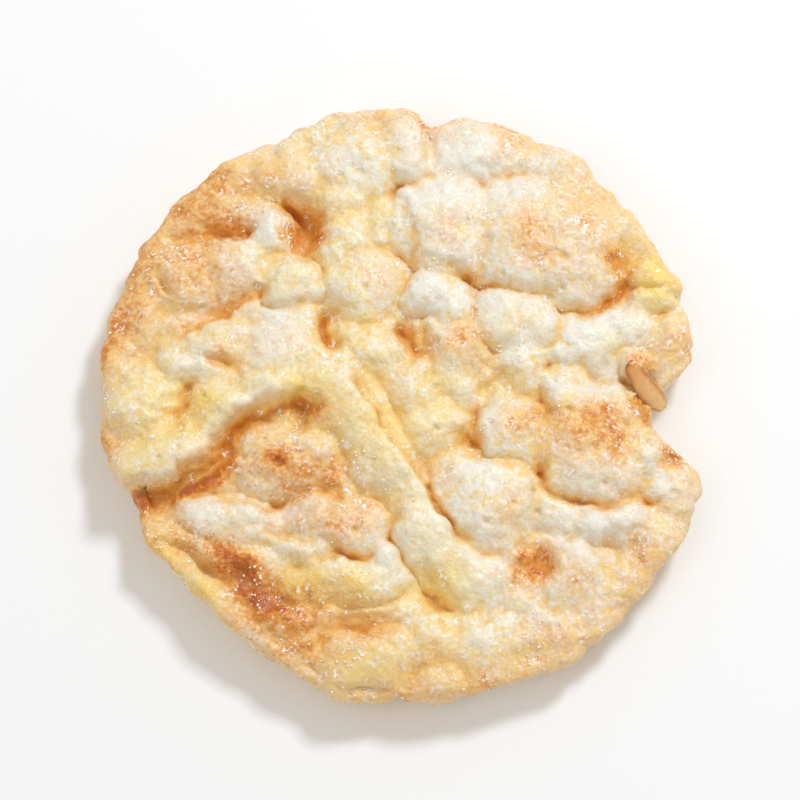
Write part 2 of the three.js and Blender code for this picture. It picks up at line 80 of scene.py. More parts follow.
# %% Helpers for materials
def linear(hex_code):
    """sRGB hex to linear RGBA: a short straight toe, then a power of 2.4."""
    parts = np.array([int(hex_code[k:k + 2], 16) for k in (1, 3, 5)]) / 255
    light = np.where(parts <= 0.04045, parts / 12.92, ((parts + 0.055) / 1.055) ** 2.4)
    return (*light.tolist(), 1.0)


def add_node(tree, kind, settings=None, **sockets):
    """Add a node. A socket's value is a number, a colour or another node's output.
    Socket names are written with _ for a space, and a leading _ with a number is an index."""
    node = tree.nodes.new(kind)
    for name, value in (settings or {}).items():
        setattr(node, name, value)
    for name, value in sockets.items():
        socket = node.inputs[int(name[1:]) if name.startswith("_") else name.replace("_", " ")]
        if isinstance(value, bpy.types.NodeSocket):
            tree.links.new(value, socket)
        else:
            socket.default_value = value
    return node


def new_material(name):
    """An empty node material, with its tree and its output node."""
    material = bpy.data.materials.new(name)
    material.use_nodes = True
    material.node_tree.nodes.clear()
    return material, material.node_tree, material.node_tree.nodes.new("ShaderNodeOutputMaterial")


# %% [markdown]
# ## The studio
# The cake lies on its flatter side, and the camera looks down on it steeply, 75 degrees above
# the table. A long lens from well back keeps the outline round. The light is high-key: one
# fairly hard lamp from behind and to the right draws the creases, and a broad lamp from the
# left and a bright sky fill them.

# %% Camera, lamps and table
VIEW_HEIGHT = math.radians(75)   # of the camera over the table
LENS = 200                       # mm
FRAME_WIDTH = 66.5               # mm of table across the picture
AIM = (0.0, 0.0, 3.6)            # mm, the middle of the cake


def look_at(thing, place, target):
    """Put a camera or lamp at a place, in millimetres, with its -Z axis towards the target."""
    way = np.array(target, float) - np.array(place, float)
    flat = math.hypot(way[0], way[1])
    thing.location = np.array(place) * MM
    thing.rotation_euler = (math.atan2(flat, -way[2]), 0, math.atan2(-way[0], way[1]))


camera = bpy.data.objects.new("camera", bpy.data.cameras.new("camera"))
camera.data.lens = LENS
distance = FRAME_WIDTH * LENS / camera.data.sensor_width
away = (0.0, -math.cos(VIEW_HEIGHT) * distance, math.sin(VIEW_HEIGHT) * distance)
look_at(camera, np.array(AIM) + away, AIM)
camera.data.clip_start = 0.01
camera.data.clip_end = 5
bpy.context.scene.collection.objects.link(camera)
bpy.context.scene.camera = camera


def add_lamp(name, place, size, watts, shade):
    """A square area lamp that faces the cake. Its place and size are in millimetres."""
    data = bpy.data.lights.new(name, "AREA")
    data.size = size * MM
    data.energy = watts
    data.color = linear(shade)[:3]
    lamp = bpy.data.objects.new(name, data)
    look_at(lamp, place, AIM)
    bpy.context.scene.collection.objects.link(lamp)


add_lamp("key_lamp", (185, 260, 355), 90, 1.25, "#EFF6FF")
add_lamp("fill_lamp", (-260, -140, 420), 300, 0.25, "#FFFFFF")

world = bpy.data.worlds.new("studio")
world.use_nodes = True
sky = world.node_tree.nodes["Background"]
sky.inputs["Color"].default_value = linear("#FFFBF5")
sky.inputs["Strength"].default_value = 0.58
bpy.context.scene.world = world
bpy.context.scene.view_settings.view_transform = "Standard"

table_material, tree, output = new_material("white_card")
card = add_node(tree, "ShaderNodeBsdfPrincipled", Base_Color=linear("#FAFAFA"), Roughness=0.8)
tree.links.new(card.outputs[0], output.inputs["Surface"])
bpy.ops.mesh.primitive_plane_add(size=3, location=(0, 0, 0))
table = bpy.context.object
table.name = "table"
table.data.materials.append(table_material)
table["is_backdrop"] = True
print("camera stands back", round(distance), "mm")

# %% [markdown]
# ## Where the puffs lie
# No two puffs are alike, so their places are listed one by one: first the soft ones, which melt
# into each other, then the plump pillows, which stand clear, then the creases between grains,
# the long folds where one layer laps over another, and the pits where three grains leave a
# hole. All are in millimetres, from a point just in front of the cake's middle.

# %% Lobes, puffs, creases, folds and pits
RADIUS = 25.3          # of the round outline, before its lobes and notches
PATTERN_FRONT = -0.7   # the puffs' places are measured from a point this far along Y

# angle from +X and half-width in degrees, push outwards
OUTLINE_LOBES = [
    (22, 6, 0.6), (12, 5, 0.4), (0, 6.5, -2.6), (352, 6, -3.2), (345, 4, 1.4), (338, 6, 0.8),
    (325, 9, 1.2), (307, 13, 1.1), (280, 18, 1.3), (257, 8, 0.5), (226, 18, -1.3), (200, 6, -0.8),
    (135, 13, 0.2), (113, 5, -0.5), (99, 9, 0.3), (83, 3.5, -1.5), (64, 11, 0.6),
]
# x, y, length, width, turn in degrees, rise
PUFFS = [
    # long top pillow, and the toasted arch beside it
    (-9.0, 19.6, 9.0, 7.0, 22, 2.1), (-3.6, 20.9, 9.0, 7.6, 15, 2.5), (-13.6, 20.2, 7.0, 4.4, 35, 1.5),
    (-16.6, 16.9, 9.5, 4.8, 38, 1.7), (-12.6, 16.7, 6.0, 3.6, 8, 1.6), (-21.3, 12.2, 8.0, 3.4, 62, 1.0),
    # upper left
    (-18.2, 10.6, 8.0, 7.2, 10, 2.1), (-13.4, 11.6, 7.6, 6.4, 0, 2.2), (-21.4, 7.4, 7.0, 4.6, 72, 1.5),
    (-23.4, 3.8, 7.0, 3.6, 85, 1.1), (-9.6, 7.1, 7.2, 4.2, -10, 1.6), (-17.6, 6.6, 5.0, 3.4, 0, 1.2),
    # the left shell, which arches over the pocket
    (-15.6, 4.2, 9.0, 6.2, 12, 2.1), (-9.6, 4.2, 9.0, 6.4, -12, 2.3), (-5.6, 2.2, 7.5, 6.0, -48, 2.2),
    (-21.6, -0.2, 7.2, 6.4, 30, 2.3), (-18.6, -4.6, 10.0, 7.4, 14, 2.4), (-21.0, -5.4, 6.4, 6.0, 0, 2.1),
    (-14.6, -0.6, 7.0, 7.0, 25, 2.3), (-10.4, 1.2, 8.5, 5.4, 4, 2.2), (-18.6, 3.0, 5.0, 3.4, 40, 2.1),
    # the ridge that runs down from it, and its slope into the pocket
    (-4.0, -1.2, 9.0, 6.6, -56, 2.3), (-1.2, -5.0, 9.0, 6.8, -58, 2.4), (0.9, -8.2, 5.4, 5.0, -60, 2.1),
    (-6.2, -6.6, 9.0, 6.0, -50, 1.4), (-6.9, -3.8, 4.4, 4.4, 0, 2.1),
    # waves under the pocket, down to the lower left rim
    (-19.8, -9.8, 5.6, 4.4, 0, 0.9), (-13.2, -12.9, 9.6, 4.6, -24, 1.5), (-18.2, -13.6, 6.6, 3.6, -38, 0.9),
    (-15.0, -16.6, 7.6, 4.6, -42, 1.1), (-11.2, -18.6, 6.6, 4.4, -32, 1.2), (-7.6, -18.2, 7.0, 3.4, 18, 1.4),
    (-7.4, -12.8, 6.0, 2.6, -8, 1.9), (-1.0, -13.2, 3.0, 2.8, 0, 2.0), (-8.0, -21.0, 6.6, 4.4, -8, 1.2),
    # bottom rim
    (-1.4, -18.0, 6.6, 3.6, 8, 1.3), (2.2, -20.4, 6.4, 5.4, 0, 1.8),
    (3.2, -23.6, 5.4, 4.2, 0, 1.4), (7.4, -20.6, 8.4, 6.6, 12, 1.7), (8.0, -23.4, 6.6, 4.0, 12, 1.2),
    (12.4, -19.6, 7.4, 6.4, 20, 1.5), (16.2, -18.8, 6.6, 4.6, 38, 1.0),
    # lower right
    (6.2, -14.4, 7.6, 6.6, -30, 1.8), (9.6, -16.6, 6.4, 4.8, -12, 1.3),
    (12.9, -8.6, 7.4, 4.2, -60, 1.5), (9.6, -12.4, 4.8, 4.0, 0, 1.4), (14.4, -14.6, 8.6, 7.4, -35, 1.7),
    (19.0, -15.4, 7.0, 5.4, 50, 1.3), (17.4, -10.3, 8.6, 5.0, 5, 2.5), (21.6, -12.0, 6.4, 5.4, 60, 1.6),
    (22.6, -7.4, 7.6, 5.8, 82, 1.8),
    # middle, and the rim to its right
    (2.8, -2.6, 7.4, 6.6, -48, 1.9), (1.0, 0.8, 6.8, 5.8, -30, 1.9), (-2.6, 4.6, 8.0, 5.4, -16, 1.9),
    (4.9, 1.8, 5.6, 4.6, 0, 1.7), (10.2, 3.6, 5.8, 5.4, 0, 1.8), (15.4, 5.4, 8.8, 6.8, 8, 1.9),
    (19.4, 6.6, 6.0, 5.2, 0, 1.6), (22.8, 4.8, 6.6, 5.0, 70, 1.7),
    # upper middle and upper right
    (-4.6, 14.2, 5.8, 6.6, 0, 1.9), (-3.2, 10.0, 6.6, 6.6, 0, 2.2), (-1.2, 15.6, 5.0, 5.2, 0, 1.7),
    (-5.2, 17.6, 5.4, 4.0, 20, 2.0), (6.6, 21.8, 10.0, 6.6, -4, 2.1), (13.4, 20.0, 9.0, 6.0, -26, 1.7),
    (18.6, 15.8, 7.6, 6.0, -50, 1.4),
]
# x, y, length, width, turn in degrees, rise
PILLOWS = [
    # the big white pillow, of two grains
    (3.7, 15.3, 8.8, 9.6, 0, 2.6), (12.4, 14.0, 14.4, 10.8, -6, 3.0),
    # the scalloped pillow on the right, and the small one that carries the curl of bran
    (14.4, -0.2, 6.0, 6.2, 0, 2.3), (18.0, -1.0, 6.0, 5.6, 0, 2.2), (16.0, -4.0, 10.4, 8.6, -10, 2.6),
    (20.4, -4.0, 4.8, 5.2, 0, 2.0), (19.6, 3.6, 3.4, 3.0, -30, 1.7),
    # single grains
    (9.3, -2.5, 6.0, 6.0, -30, 2.1), (9.7, 7.0, 7.4, 5.8, -24, 2.3), (3.2, 9.0, 5.8, 4.4, -10, 2.1),
    (4.8, 4.7, 5.2, 6.2, 8, 2.2), (-8.9, 10.3, 5.8, 5.6, 0, 2.3), (7.4, -8.0, 9.6, 8.6, -35, 2.4),
    (0.6, 22.0, 5.4, 5.8, 0, 2.4), (-10.8, 14.9, 5.0, 3.8, -60, 2.0), (-9.8, -4.9, 9.2, 7.0, 0, 2.0),
    (21.9, 10.8, 5.2, 2.8, -10, 1.9), (21.4, 8.7, 4.6, 2.6, 4, 1.7),
    # waves and lobes below the pocket
    (-5.0, -10.5, 9.6, 4.8, -8, 2.1), (-13.8, -9.9, 11.0, 4.2, -16, 1.8), (-4.4, -15.1, 10.4, 4.4, 6, 2.0),
    (2.5, -11.6, 8.0, 5.0, -70, 2.1), (-2.8, -21.8, 8.4, 6.0, 12, 2.0),
]
# start, bend and end of a curve, width, depth, and the step up from its right bank to its left
CREASES = [
    # the left shell's own folds
    ((-17.8, 1.4), (-17.4, 0.0), (-18.4, -2.2), 0.8, 0.45, 0.0),
    # between the lower waves and lobes
    ((-21.4, -12.6), (-17.6, -11.6), (-14.2, -15.0), 0.7, 0.4, 1.2),
    ((-13.4, -16.2), (-12.2, -18.0), (-9.4, -20.4), 0.7, 0.4, 0.3),
    ((-11.8, -19.9), (-9.6, -19.8), (-7.8, -18.6), 0.6, 0.4, 0.0),
    ((-9.9, -21.5), (-8.0, -21.0), (-5.8, -19.6), 0.6, 0.4, 0.0),
    ((-8.8, -18.2), (-6.8, -17.8), (-4.6, -16.8), 0.5, 0.3, 0.0),
    ((0.2, -17.4), (-2.4, -18.8), (-5.0, -18.6), 0.9, 0.6, 0.4),
    ((1.2, -8.0), (-0.6, -10.4), (-0.2, -12.6), 0.8, 0.15, 0.3),
    ((4.2, -18.0), (2.6, -16.6), (1.6, -13.8), 1.1, 0.2, 0.5),
    ((9.2, -17.2), (5.4, -21.0), (1.8, -18.4), 0.8, 0.3, 0.4),
    # lower right shells
    ((3.4, -8.8), (5.0, -12.6), (9.6, -12.6), 0.8, 0.15, 0.3),
    ((10.8, -6.8), (12.0, -8.6), (11.0, -11.2), 0.7, 0.2, 0.0),
    ((14.8, -9.2), (14.4, -11.0), (13.4, -12.4), 0.6, 0.3, 0.0),
    ((18.0, -18.8), (19.0, -12.2), (12.2, -11.6), 0.6, 0.15, 0.3),
    ((14.2, -21.4), (14.4, -17.0), (8.6, -16.4), 0.6, 0.2, 0.4),
    # across the middle
    ((11.2, -5.4), (13.4, -9.0), (18.4, -8.4), 0.7, 0.4, 0.5),
    ((14.2, -9.6), (18.6, -8.2), (22.6, -8.4), 0.7, 0.4, 0.3),
    ((4.8, -2.6), (8.0, -5.0), (11.4, -6.4), 0.8, 0.5, 0.6),
    ((10.2, 0.6), (12.0, -0.8), (11.8, -2.6), 0.6, 0.1, 0.2),
    ((7.0, 2.4), (6.4, -1.4), (4.4, -3.8), 0.8, 0.4, 0.3),
    ((5.2, -3.2), (3.6, -4.8), (1.0, -6.4), 0.8, 0.3, 0.3),
    ((12.8, 7.8), (13.2, 6.0), (12.2, 3.8), 0.7, 0.3, 0.0),
    ((11.8, 3.1), (14.4, 1.2), (17.6, 3.0), 0.7, 0.4, 0.0),
    ((0.4, 6.8), (1.0, 5.6), (1.6, 3.6), 1.0, 0.6, 0.0),
    ((-5.4, 4.0), (-6.2, 6.0), (-6.2, 7.8), 1.0, 0.4, 0.4),
    ((-12.6, 8.6), (-10.0, 7.8), (-7.6, 8.0), 0.8, 0.2, 0.5),
    ((-20.8, 11.4), (-20.2, 10.2), (-19.2, 9.0), 0.6, 0.35, 0.0),
    ((19.0, 3.4), (19.0, 1.2), (20.2, -0.8), 0.5, 0.2, 0.0),
    # round the big pillow and the top rim
    ((6.6, 10.2), (10.0, 10.4), (14.4, 8.6), 0.9, 0.2, 0.5),
    ((13.4, 8.8), (16.8, 7.8), (19.4, 10.8), 0.8, 0.4, 0.6),
    ((1.4, 12.2), (4.4, 12.4), (6.7, 10.6), 0.8, 0.3, 0.5),
    ((0.9, 18.2), (1.3, 14.5), (0.6, 11.0), 0.7, 0.25, 0.4),
    ((7.3, 15.0), (7.0, 12.5), (6.4, 9.8), 0.7, 0.4, 0.0),
    ((-2.0, 18.4), (1.4, 19.6), (6.4, 19.2), 0.7, 0.1, 0.2),
    ((2.2, 21.0), (2.5, 23.0), (3.6, 25.4), 0.8, 0.5, 0.0),
    ((-12.0, 18.8), (-9.8, 18.2), (-8.4, 15.2), 0.8, 0.3, 0.4),
    ((-12.4, 14.4), (-15.4, 15.6), (-19.0, 13.4), 1.1, 0.5, 0.9),
]
# points of a long fold, then its width, depth, step up to the left, and how dark its foot is
# painted, as the shade under its higher bank
FOLDS = [
    # the valley under the left shell
    ([(-29.0, -7.6), (-24.6, -7.5), (-22.0, -7.1), (-20.5, -7.1), (-19.2, -7.0), (-18.0, -6.2), (-16.5, -5.4),
      (-15.4, -4.6), (-14.9, -3.6), (-14.2, -2.4), (-13.2, -1.4), (-12.2, -0.8), (-11.0, -0.4), (-9.5, 0.1),
      (-8.2, 0.3), (-7.0, -0.1), (-6.2, -0.9)], 1.4, 0.9, 2.5, 2.0),
    # the long ridge's foot
    ([(4.6, -11.0), (3.8, -9.9), (2.6, -8.1), (1.2, -5.9), (-0.2, -3.9), (-1.4, -2.0), (-2.6, -0.1),
      (-3.6, 1.6), (-4.2, 3.0)], 0.6, 0.5, 1.0, 0.2),
    # over the crests of the two waves, and under the second one
    ([(-17.6, -8.0), (-15.4, -7.5), (-13.2, -8.1), (-11.2, -8.9), (-9.8, -8.6), (-8.6, -7.8), (-7.0, -7.4),
      (-5.2, -7.9), (-4.0, -9.2)], 0.6, 0.5, 0.0, 0.3),
    ([(-12.6, -10.2), (-11.0, -10.9), (-9.4, -11.7), (-8.0, -12.4), (-6.4, -13.4), (-4.2, -13.3),
      (-1.8, -12.8)], 0.7, 0.35, -0.4, 0.2),
    # the shell's slot and its back edge
    ([(-16.4, 3.9), (-15.2, 3.6), (-13.8, 3.4), (-12.8, 3.7)], 0.6, 0.3, 0.3, 0.6),
    ([(-18.8, 5.4), (-17.3, 6.4), (-15.6, 7.1), (-14.3, 7.8), (-13.3, 8.7), (-12.0, 9.3),
      (-10.8, 9.0)], 0.8, 0.5, -0.5, 0.9),
]
# x, y, length, width, turn in degrees, depth
PITS = [
    (-8.4, 15.4, 4.6, 2.8, -60, 1.6), (0.9, 5.2, 3.2, 1.8, -76, 0.9), (-5.9, 6.0, 3.4, 2.0, -75, 0.9),
    (5.5, -3.0, 2.6, 1.9, 30, 0.7), (7.3, 0.9, 1.8, 1.3, 60, 0.7), (11.4, -5.9, 1.8, 1.2, 30, 0.4),
    (18.7, 12.2, 3.4, 1.3, 76, 1.1), (11.6, -13.5, 3.0, 2.2, -60, 1.3), (-14.4, 3.4, 3.0, 0.9, -6, 0.5),
    (2.8, -16.0, 4.0, 2.6, -58, 0.6), (15.6, -19.3, 2.6, 1.4, 20, 0.6), (-2.6, -18.8, 4.0, 1.8, 10, 0.7),
    (22.9, -4.9, 2.4, 1.0, 0, 0.4), (-21.4, -9.0, 4.4, 2.8, -10, 0.9), (-14.6, 15.2, 3.6, 1.6, -6, 0.4),
    (-19.5, 9.9, 1.8, 1.0, -60, 0.5), (10.1, -12.4, 1.1, 0.9, 0, 0.5), (14.2, 12.0, 0.9, 0.8, 0, 0.4),
    (8.9, 10.8, 0.6, 0.6, 0, 0.3), (-10.1, -5.6, 1.2, 0.9, -20, 0.5), (12.6, 11.8, 2.6, 1.6, 10, 0.3),
]
print(len(PUFFS), "soft puffs,", len(PILLOWS), "pillows,", len(CREASES), "creases,")
print(len(FOLDS), "long folds and", len(PITS), "pits")

# %% [markdown]
# ## Noise on a lattice
# Popped starch is irregular at every scale. Gradient noise bends the puffs' borders and swells
# the skin, and cell noise gives the bubbles of the foam. Both hash the corners of a lattice, so
# they need no random generator and come out the same on every run.


# %% Noise functions
def hashed(seed, *corner):
    """A number from 0 to 1 for each lattice corner, from a 32-bit integer hash."""
    factors = (374761393, 668265263, 1103515245)
    h = sum(c * f for c, f in zip(corner, factors)) + seed * 1442695041
    h = h & 0xFFFFFFFF
    h = ((h ^ (h >> 13)) * 1274126177) & 0xFFFFFFFF
    return ((h ^ (h >> 16)) & 0xFFFFFFFF) / 4294967296.0


def smooth(t):
    """Quintic ease from 0 to 1, flat at both ends."""
    return t * t * t * (t * (t * 6 - 15) + 10)


def noise(x, y, seed, size):
    """Plane gradient noise, about -1 to 1: a random slope at each corner, blended smoothly."""
    x, y = x / size, y / size
    i, j = np.floor(x).astype(np.int64), np.floor(y).astype(np.int64)
    u, v = x - i, y - j

    def slope(di, dj):
        turn = 2 * np.pi * hashed(seed, i + di, j + dj)
        return np.cos(turn) * (u - di) + np.sin(turn) * (v - dj)

    low = slope(0, 0) * (1 - smooth(u)) + slope(1, 0) * smooth(u)
    high = slope(0, 1) * (1 - smooth(u)) + slope(1, 1) * smooth(u)
    return 1.5 * (low * (1 - smooth(v)) + high * smooth(v))


def octaves(rows, x, y):
    """A sum of noises, each with its seed, size and amount."""
    return sum(amount * noise(x, y, seed, size) for seed, size, amount in rows)


def lumps(points, seed, size):
    """Solid value noise, -1 to 1: a random value at each corner of a cube, blended smoothly."""
    place = points / size
    corner = np.floor(place).astype(np.int64)
    t = smooth(place - corner)
    total = 0
    for step in np.ndindex(2, 2, 2):
        weight = np.prod(np.where(step, t, 1 - t), axis=1)
        total = total + weight * hashed(seed, *(corner + step).T)
    return 2 * total - 1


def bubbles(points, seed, size):
    """Solid cell noise: the distance to the nearest of one jittered point per cell, over the
    cell's size, and that point's own random number."""
    place = points / size
    corner = np.floor(place).astype(np.int64)
    nearest = np.full(len(points), 9.0)
    owner = np.zeros(len(points))
    for step in np.ndindex(3, 3, 3):
        cell = corner + np.array(step) - 1
        middle = cell + np.stack([hashed(seed + k, *cell.T) for k in range(3)], 1)
        away = ((place - middle) ** 2).sum(1)
        closer = away < nearest
        nearest[closer] = away[closer]
        owner[closer] = hashed(seed + 3, *cell.T)[closer]
    return np.sqrt(nearest), owner


# %% [markdown]
# ## The relief of the top
# Every soft puff is a low dome, and a smooth maximum welds them: a logarithm of summed
# exponentials, which rounds the valley between two domes as melted starch does. Pillows are
# steeper, nearly half ellipses, each in its own narrow moat. Creases and long folds are pressed in
# after that. Where a layer laps over its neighbour, one bank is lifted and the other lowered,
# so the crease gets a steep side and a foot. Pits and small lumps come last.
#
# The same lines are used again for the colours: a seam is the bottom of a crease, where shade
# is painted, and the foot of a long fold is painted dark brown, as the shade under its higher
# bank.

# %% Relief functions
WAVER_X = [(1, 4.6, 0.75), (2, 1.9, 0.32), (5, 0.9, 0.14)]   # seed, size of a lump, amount, in mm
WAVER_Y = [(3, 4.6, 0.75), (4, 1.9, 0.32), (6, 0.9, 0.14)]
LUMPS = [(7, 2.6, 0.18), (8, 1.3, 0.1)]
SOLE_SWELLS = [(21, 6.5, 0.45), (22, 3.1, 0.3), (23, 1.5, 0.12)]
SOLE_CRACKS = (24, 5.2, 0.5)   # seed, size, depth
CRACK_SHARPNESS = 9
WALL_LUMPS = [(31, 5.2, 0.45), (32, 2.6, 0.3)]
WALL_DRIFT = (1.3, 0.9)     # how far the wall's lumps move along X and Y for each mm down
PUFF_SPREAD, PUFF_FALL = 1.12, 0.95   # shares of a puff's stated size, and of its rise
WELD = 8.0                  # per mm: higher keeps neighbours more apart
JOIN = 4.0                  # per mm: the same, between the soft puffs and the pillows
FLOOR = 0.2                 # mm, of the relief where no puff rises
LOWEST = -1.0               # mm, below which a dome no longer counts
PILLOW_SPREAD, PILLOW_SQUARENESS, PILLOW_STEEPNESS = 1.06, 2.3, 0.6
MOAT_DEPTH, MOAT_WIDTH = 0.12, 0.3    # shares of the pillow's rise, and of its reach
LIP, BANK = 0.3, 1.8        # mm over which a proud bank rises, and over which it sinks back
HIGH_SIDE, LOW_SIDE = 0.45, 0.7   # shares of a crease's width, on its higher bank and elsewhere
CREASE_TIP, FOLD_TIP = 6, 10      # how soon a crease and a long fold reach their full depth
TIP_FADE = 0.7                    # a power: less than 1 makes the ends blunter
PIT_STEEPNESS = 1.3
SEAM_DEPTH = 0.9                  # mm, from which a crease's seam is as strong as it gets
SEAM_WIDTH = (0.25, 0.12)         # a share of the crease's width, and mm added to it
# The scorch in the next two lines is painted shade at a fold's foot, under its higher bank.
FOOT_WIDTH = 0.75                 # the scorch's reach, as a share of the fold's width
FOOT_END, FOOT_SOFT = 0.28, 0.4   # mm up the high bank, and mm over which the scorch fades there


def oval_reach(x, y, oval, spread, squareness):
    """Distance from an oval's middle, squared: 0 in the middle and 1 on its edge."""
    turn = math.radians(oval[4])
    u = ((x - oval[0]) * math.cos(turn) + (y - oval[1]) * math.sin(turn)) / (oval[2] * spread / 2)
    v = ((y - oval[1]) * math.cos(turn) - (x - oval[0]) * math.sin(turn)) / (oval[3] * spread / 2)
    return (np.abs(u) ** squareness + np.abs(v) ** squareness) ** (2 / squareness)


def bowed(start, bend, end, steps=12):
    """A quadratic curve, cut into short chords."""
    t = np.linspace(0, 1, steps + 1)[:, None]
    return (1 - t) ** 2 * np.array(start) + 2 * t * (1 - t) * np.array(bend) + t * t * np.array(end)


def nearest_on_chain(x, y, chain):
    """Distance to a chain of points, positive on its left, and how far along it, 0 to 1, the
    nearest place is."""
    nearest, along, left = np.full(x.shape, 1e9), np.zeros(x.shape), np.ones(x.shape)
    steps = len(chain) - 1
    for k in range(steps):
        chord = chain[k + 1] - chain[k]
        dx, dy = x - chain[k, 0], y - chain[k, 1]
        s = np.clip((dx * chord[0] + dy * chord[1]) / (chord @ chord), 0, 1)
        away = (dx - s * chord[0]) ** 2 + (dy - s * chord[1]) ** 2
        closer = away < nearest
        along = np.where(closer, (k + s) / steps, along)
        left = np.where(closer, np.sign(chord[0] * dy - chord[1] * dx), left)
        nearest = np.minimum(away, nearest)
    return left * np.sqrt(nearest), along


def wavered(x, y):
    """The pattern's own coordinates, bent a little so that no border is a clean oval."""
    return x + octaves(WAVER_X, x, y), y + octaves(WAVER_Y, x, y)


CREASE_LINES = [(bowed(*row[:3]), CREASE_TIP, *row[3:]) for row in CREASES]
CREASE_LINES += [(np.stack(wavered(*np.array(row[0]).T), 1), FOLD_TIP, *row[1:4]) for row in FOLDS]


def tapered(tip, along):
    """0 at both ends of a line and 1 along its middle: a parabola, cut off at 1."""
    return np.clip(tip * along * (1 - along), 0, 1)


def seams(x, y):
    """How near a crease's bottom each point is, 0 to 1: a bell curve across each crease, the
    stronger the deeper the crease is."""
    wx, wy = wavered(x, y)
    seam = np.zeros(x.shape)
    for chain, tip, width, depth, step in CREASE_LINES:
        away, along = nearest_on_chain(wx, wy, chain)
        strength = min((depth + 0.5 * abs(step)) / SEAM_DEPTH, 1)
        reach = SEAM_WIDTH[0] * width + SEAM_WIDTH[1]
        seam = np.maximum(seam, tapered(tip, along) * strength * np.exp(-(away / reach) ** 2))
    return seam


def painted_fold_shade(x, y):
    """Painted shade in the long folds, laid on as toast: full at the foot of the higher bank, and a
    bell curve away from it over the lower one."""
    wx, wy = wavered(x, y)
    toast = np.zeros(x.shape)
    for (chain, tip, width, depth, step), fold in zip(CREASE_LINES[len(CREASES):], FOLDS):
        away, along = nearest_on_chain(wx, wy, chain)
        away = away if step >= 0 else -away
        foot = np.clip((FOOT_END - away) / FOOT_SOFT, 0, 1)
        foot = foot * np.exp(-(np.minimum(away, 0) / (FOOT_WIDTH * width)) ** 2)
        toast = np.maximum(toast, fold[4] * foot * tapered(tip, along))
    return toast


def top_relief(x, y):
    """Height of the top over its floor: welded domes, pillows, creases, pits, then lumps."""
    wx, wy = wavered(x, y)
    weld = np.full(x.shape, math.exp(WELD * FLOOR))
    for puff in PUFFS:
        reach = oval_reach(wx, wy, puff, PUFF_SPREAD, 2)
        weld += np.exp(WELD * np.maximum(puff[5] * (1 - PUFF_FALL * reach), LOWEST))
    plump, moat = np.ones(x.shape), np.zeros(x.shape)
    for pillow in PILLOWS:
        reach = oval_reach(wx, wy, pillow, PILLOW_SPREAD, PILLOW_SQUARENESS)
        plump += np.exp(WELD * pillow[5] * np.maximum(1 - reach, 0) ** PILLOW_STEEPNESS) - 1
        beside = MOAT_DEPTH * pillow[5] * np.exp(-np.maximum(reach - 1, 0) / MOAT_WIDTH)
        moat = np.maximum(moat, beside)
    soft = np.exp(JOIN * (np.log(weld) / WELD - moat)) + np.exp(JOIN * np.log(plump) / WELD)
    height = np.log(soft) / JOIN
    for chain, tip, width, depth, step in CREASE_LINES:
        away, along = nearest_on_chain(wx, wy, chain)
        fade = tapered(tip, along) ** TIP_FADE
        bank = np.sign(away) * (1 - np.exp(-(away / LIP) ** 2)) * np.exp(-np.abs(away) / BANK)
        reach = width * np.where(away * step > 0, HIGH_SIDE, LOW_SIDE)
        height += fade * (step / 2 * bank - depth * np.exp(-(away / reach) ** 2))
    for pit in PITS:
        height -= pit[5] * np.exp(-oval_reach(wx, wy, pit, 1, 2) ** PIT_STEEPNESS)
    return height + octaves(LUMPS, x, y)


def sole_relief(x, y):
    """The underside, outwards: low swells, with a crack wherever one noise crosses zero."""
    seed, size, depth = SOLE_CRACKS
    crack = depth * np.exp(-(CRACK_SHARPNESS * noise(x, y, seed, size)) ** 2)
    return octaves(SOLE_SWELLS, x, y) - crack


# %% [markdown]
# ## From relief to a closed skin
# The skin is one surface of two parameters: a direction, and how far along the section a point
# lies, out over the top, round the rim and back in underneath. Top and sole are square grids
# bent into discs, which leaves no pole in the middle, and rings of faces join them at the rim.

# %% The skin's points
CROWN_HEIGHT, CROWN_FALL = 6.1, 0.9   # mm: the plain top's middle, and its fall to the edge
SOLE_HEIGHT = 0.25                    # mm: the plain underside
WAIST_HEIGHT = 3.5                    # mm: where the rim stands out furthest
EDGE, UNDERCUT = 2.2, 1.5             # mm: how far the rim rounds outwards, and its foot back in
RIM_SQUARENESS = 2.8                  # of the section's superellipse, where 2 is an ellipse
MEAN_RISE = 1.75                      # mm: the relief's own mean height, which is taken off
RIM_RELIEF = 0.55                     # share of the relief that is left on the rim
TOP_FADE = (-0.5, 0.7)                # between these the top's relief takes over from the sole's
TOP_CELLS, SOLE_CELLS, RIM_RINGS = 260, 130, 12


def outline(angle):
    """The outline's radius: a circle with a bell-shaped lobe or notch at each stated angle."""
    radius = np.full(angle.shape, RADIUS)
    for at, half, push in OUTLINE_LOBES:
        away = (np.degrees(angle) - at + 180) % 360 - 180
        radius += push * np.exp(-(away / half) ** 2)
    return radius


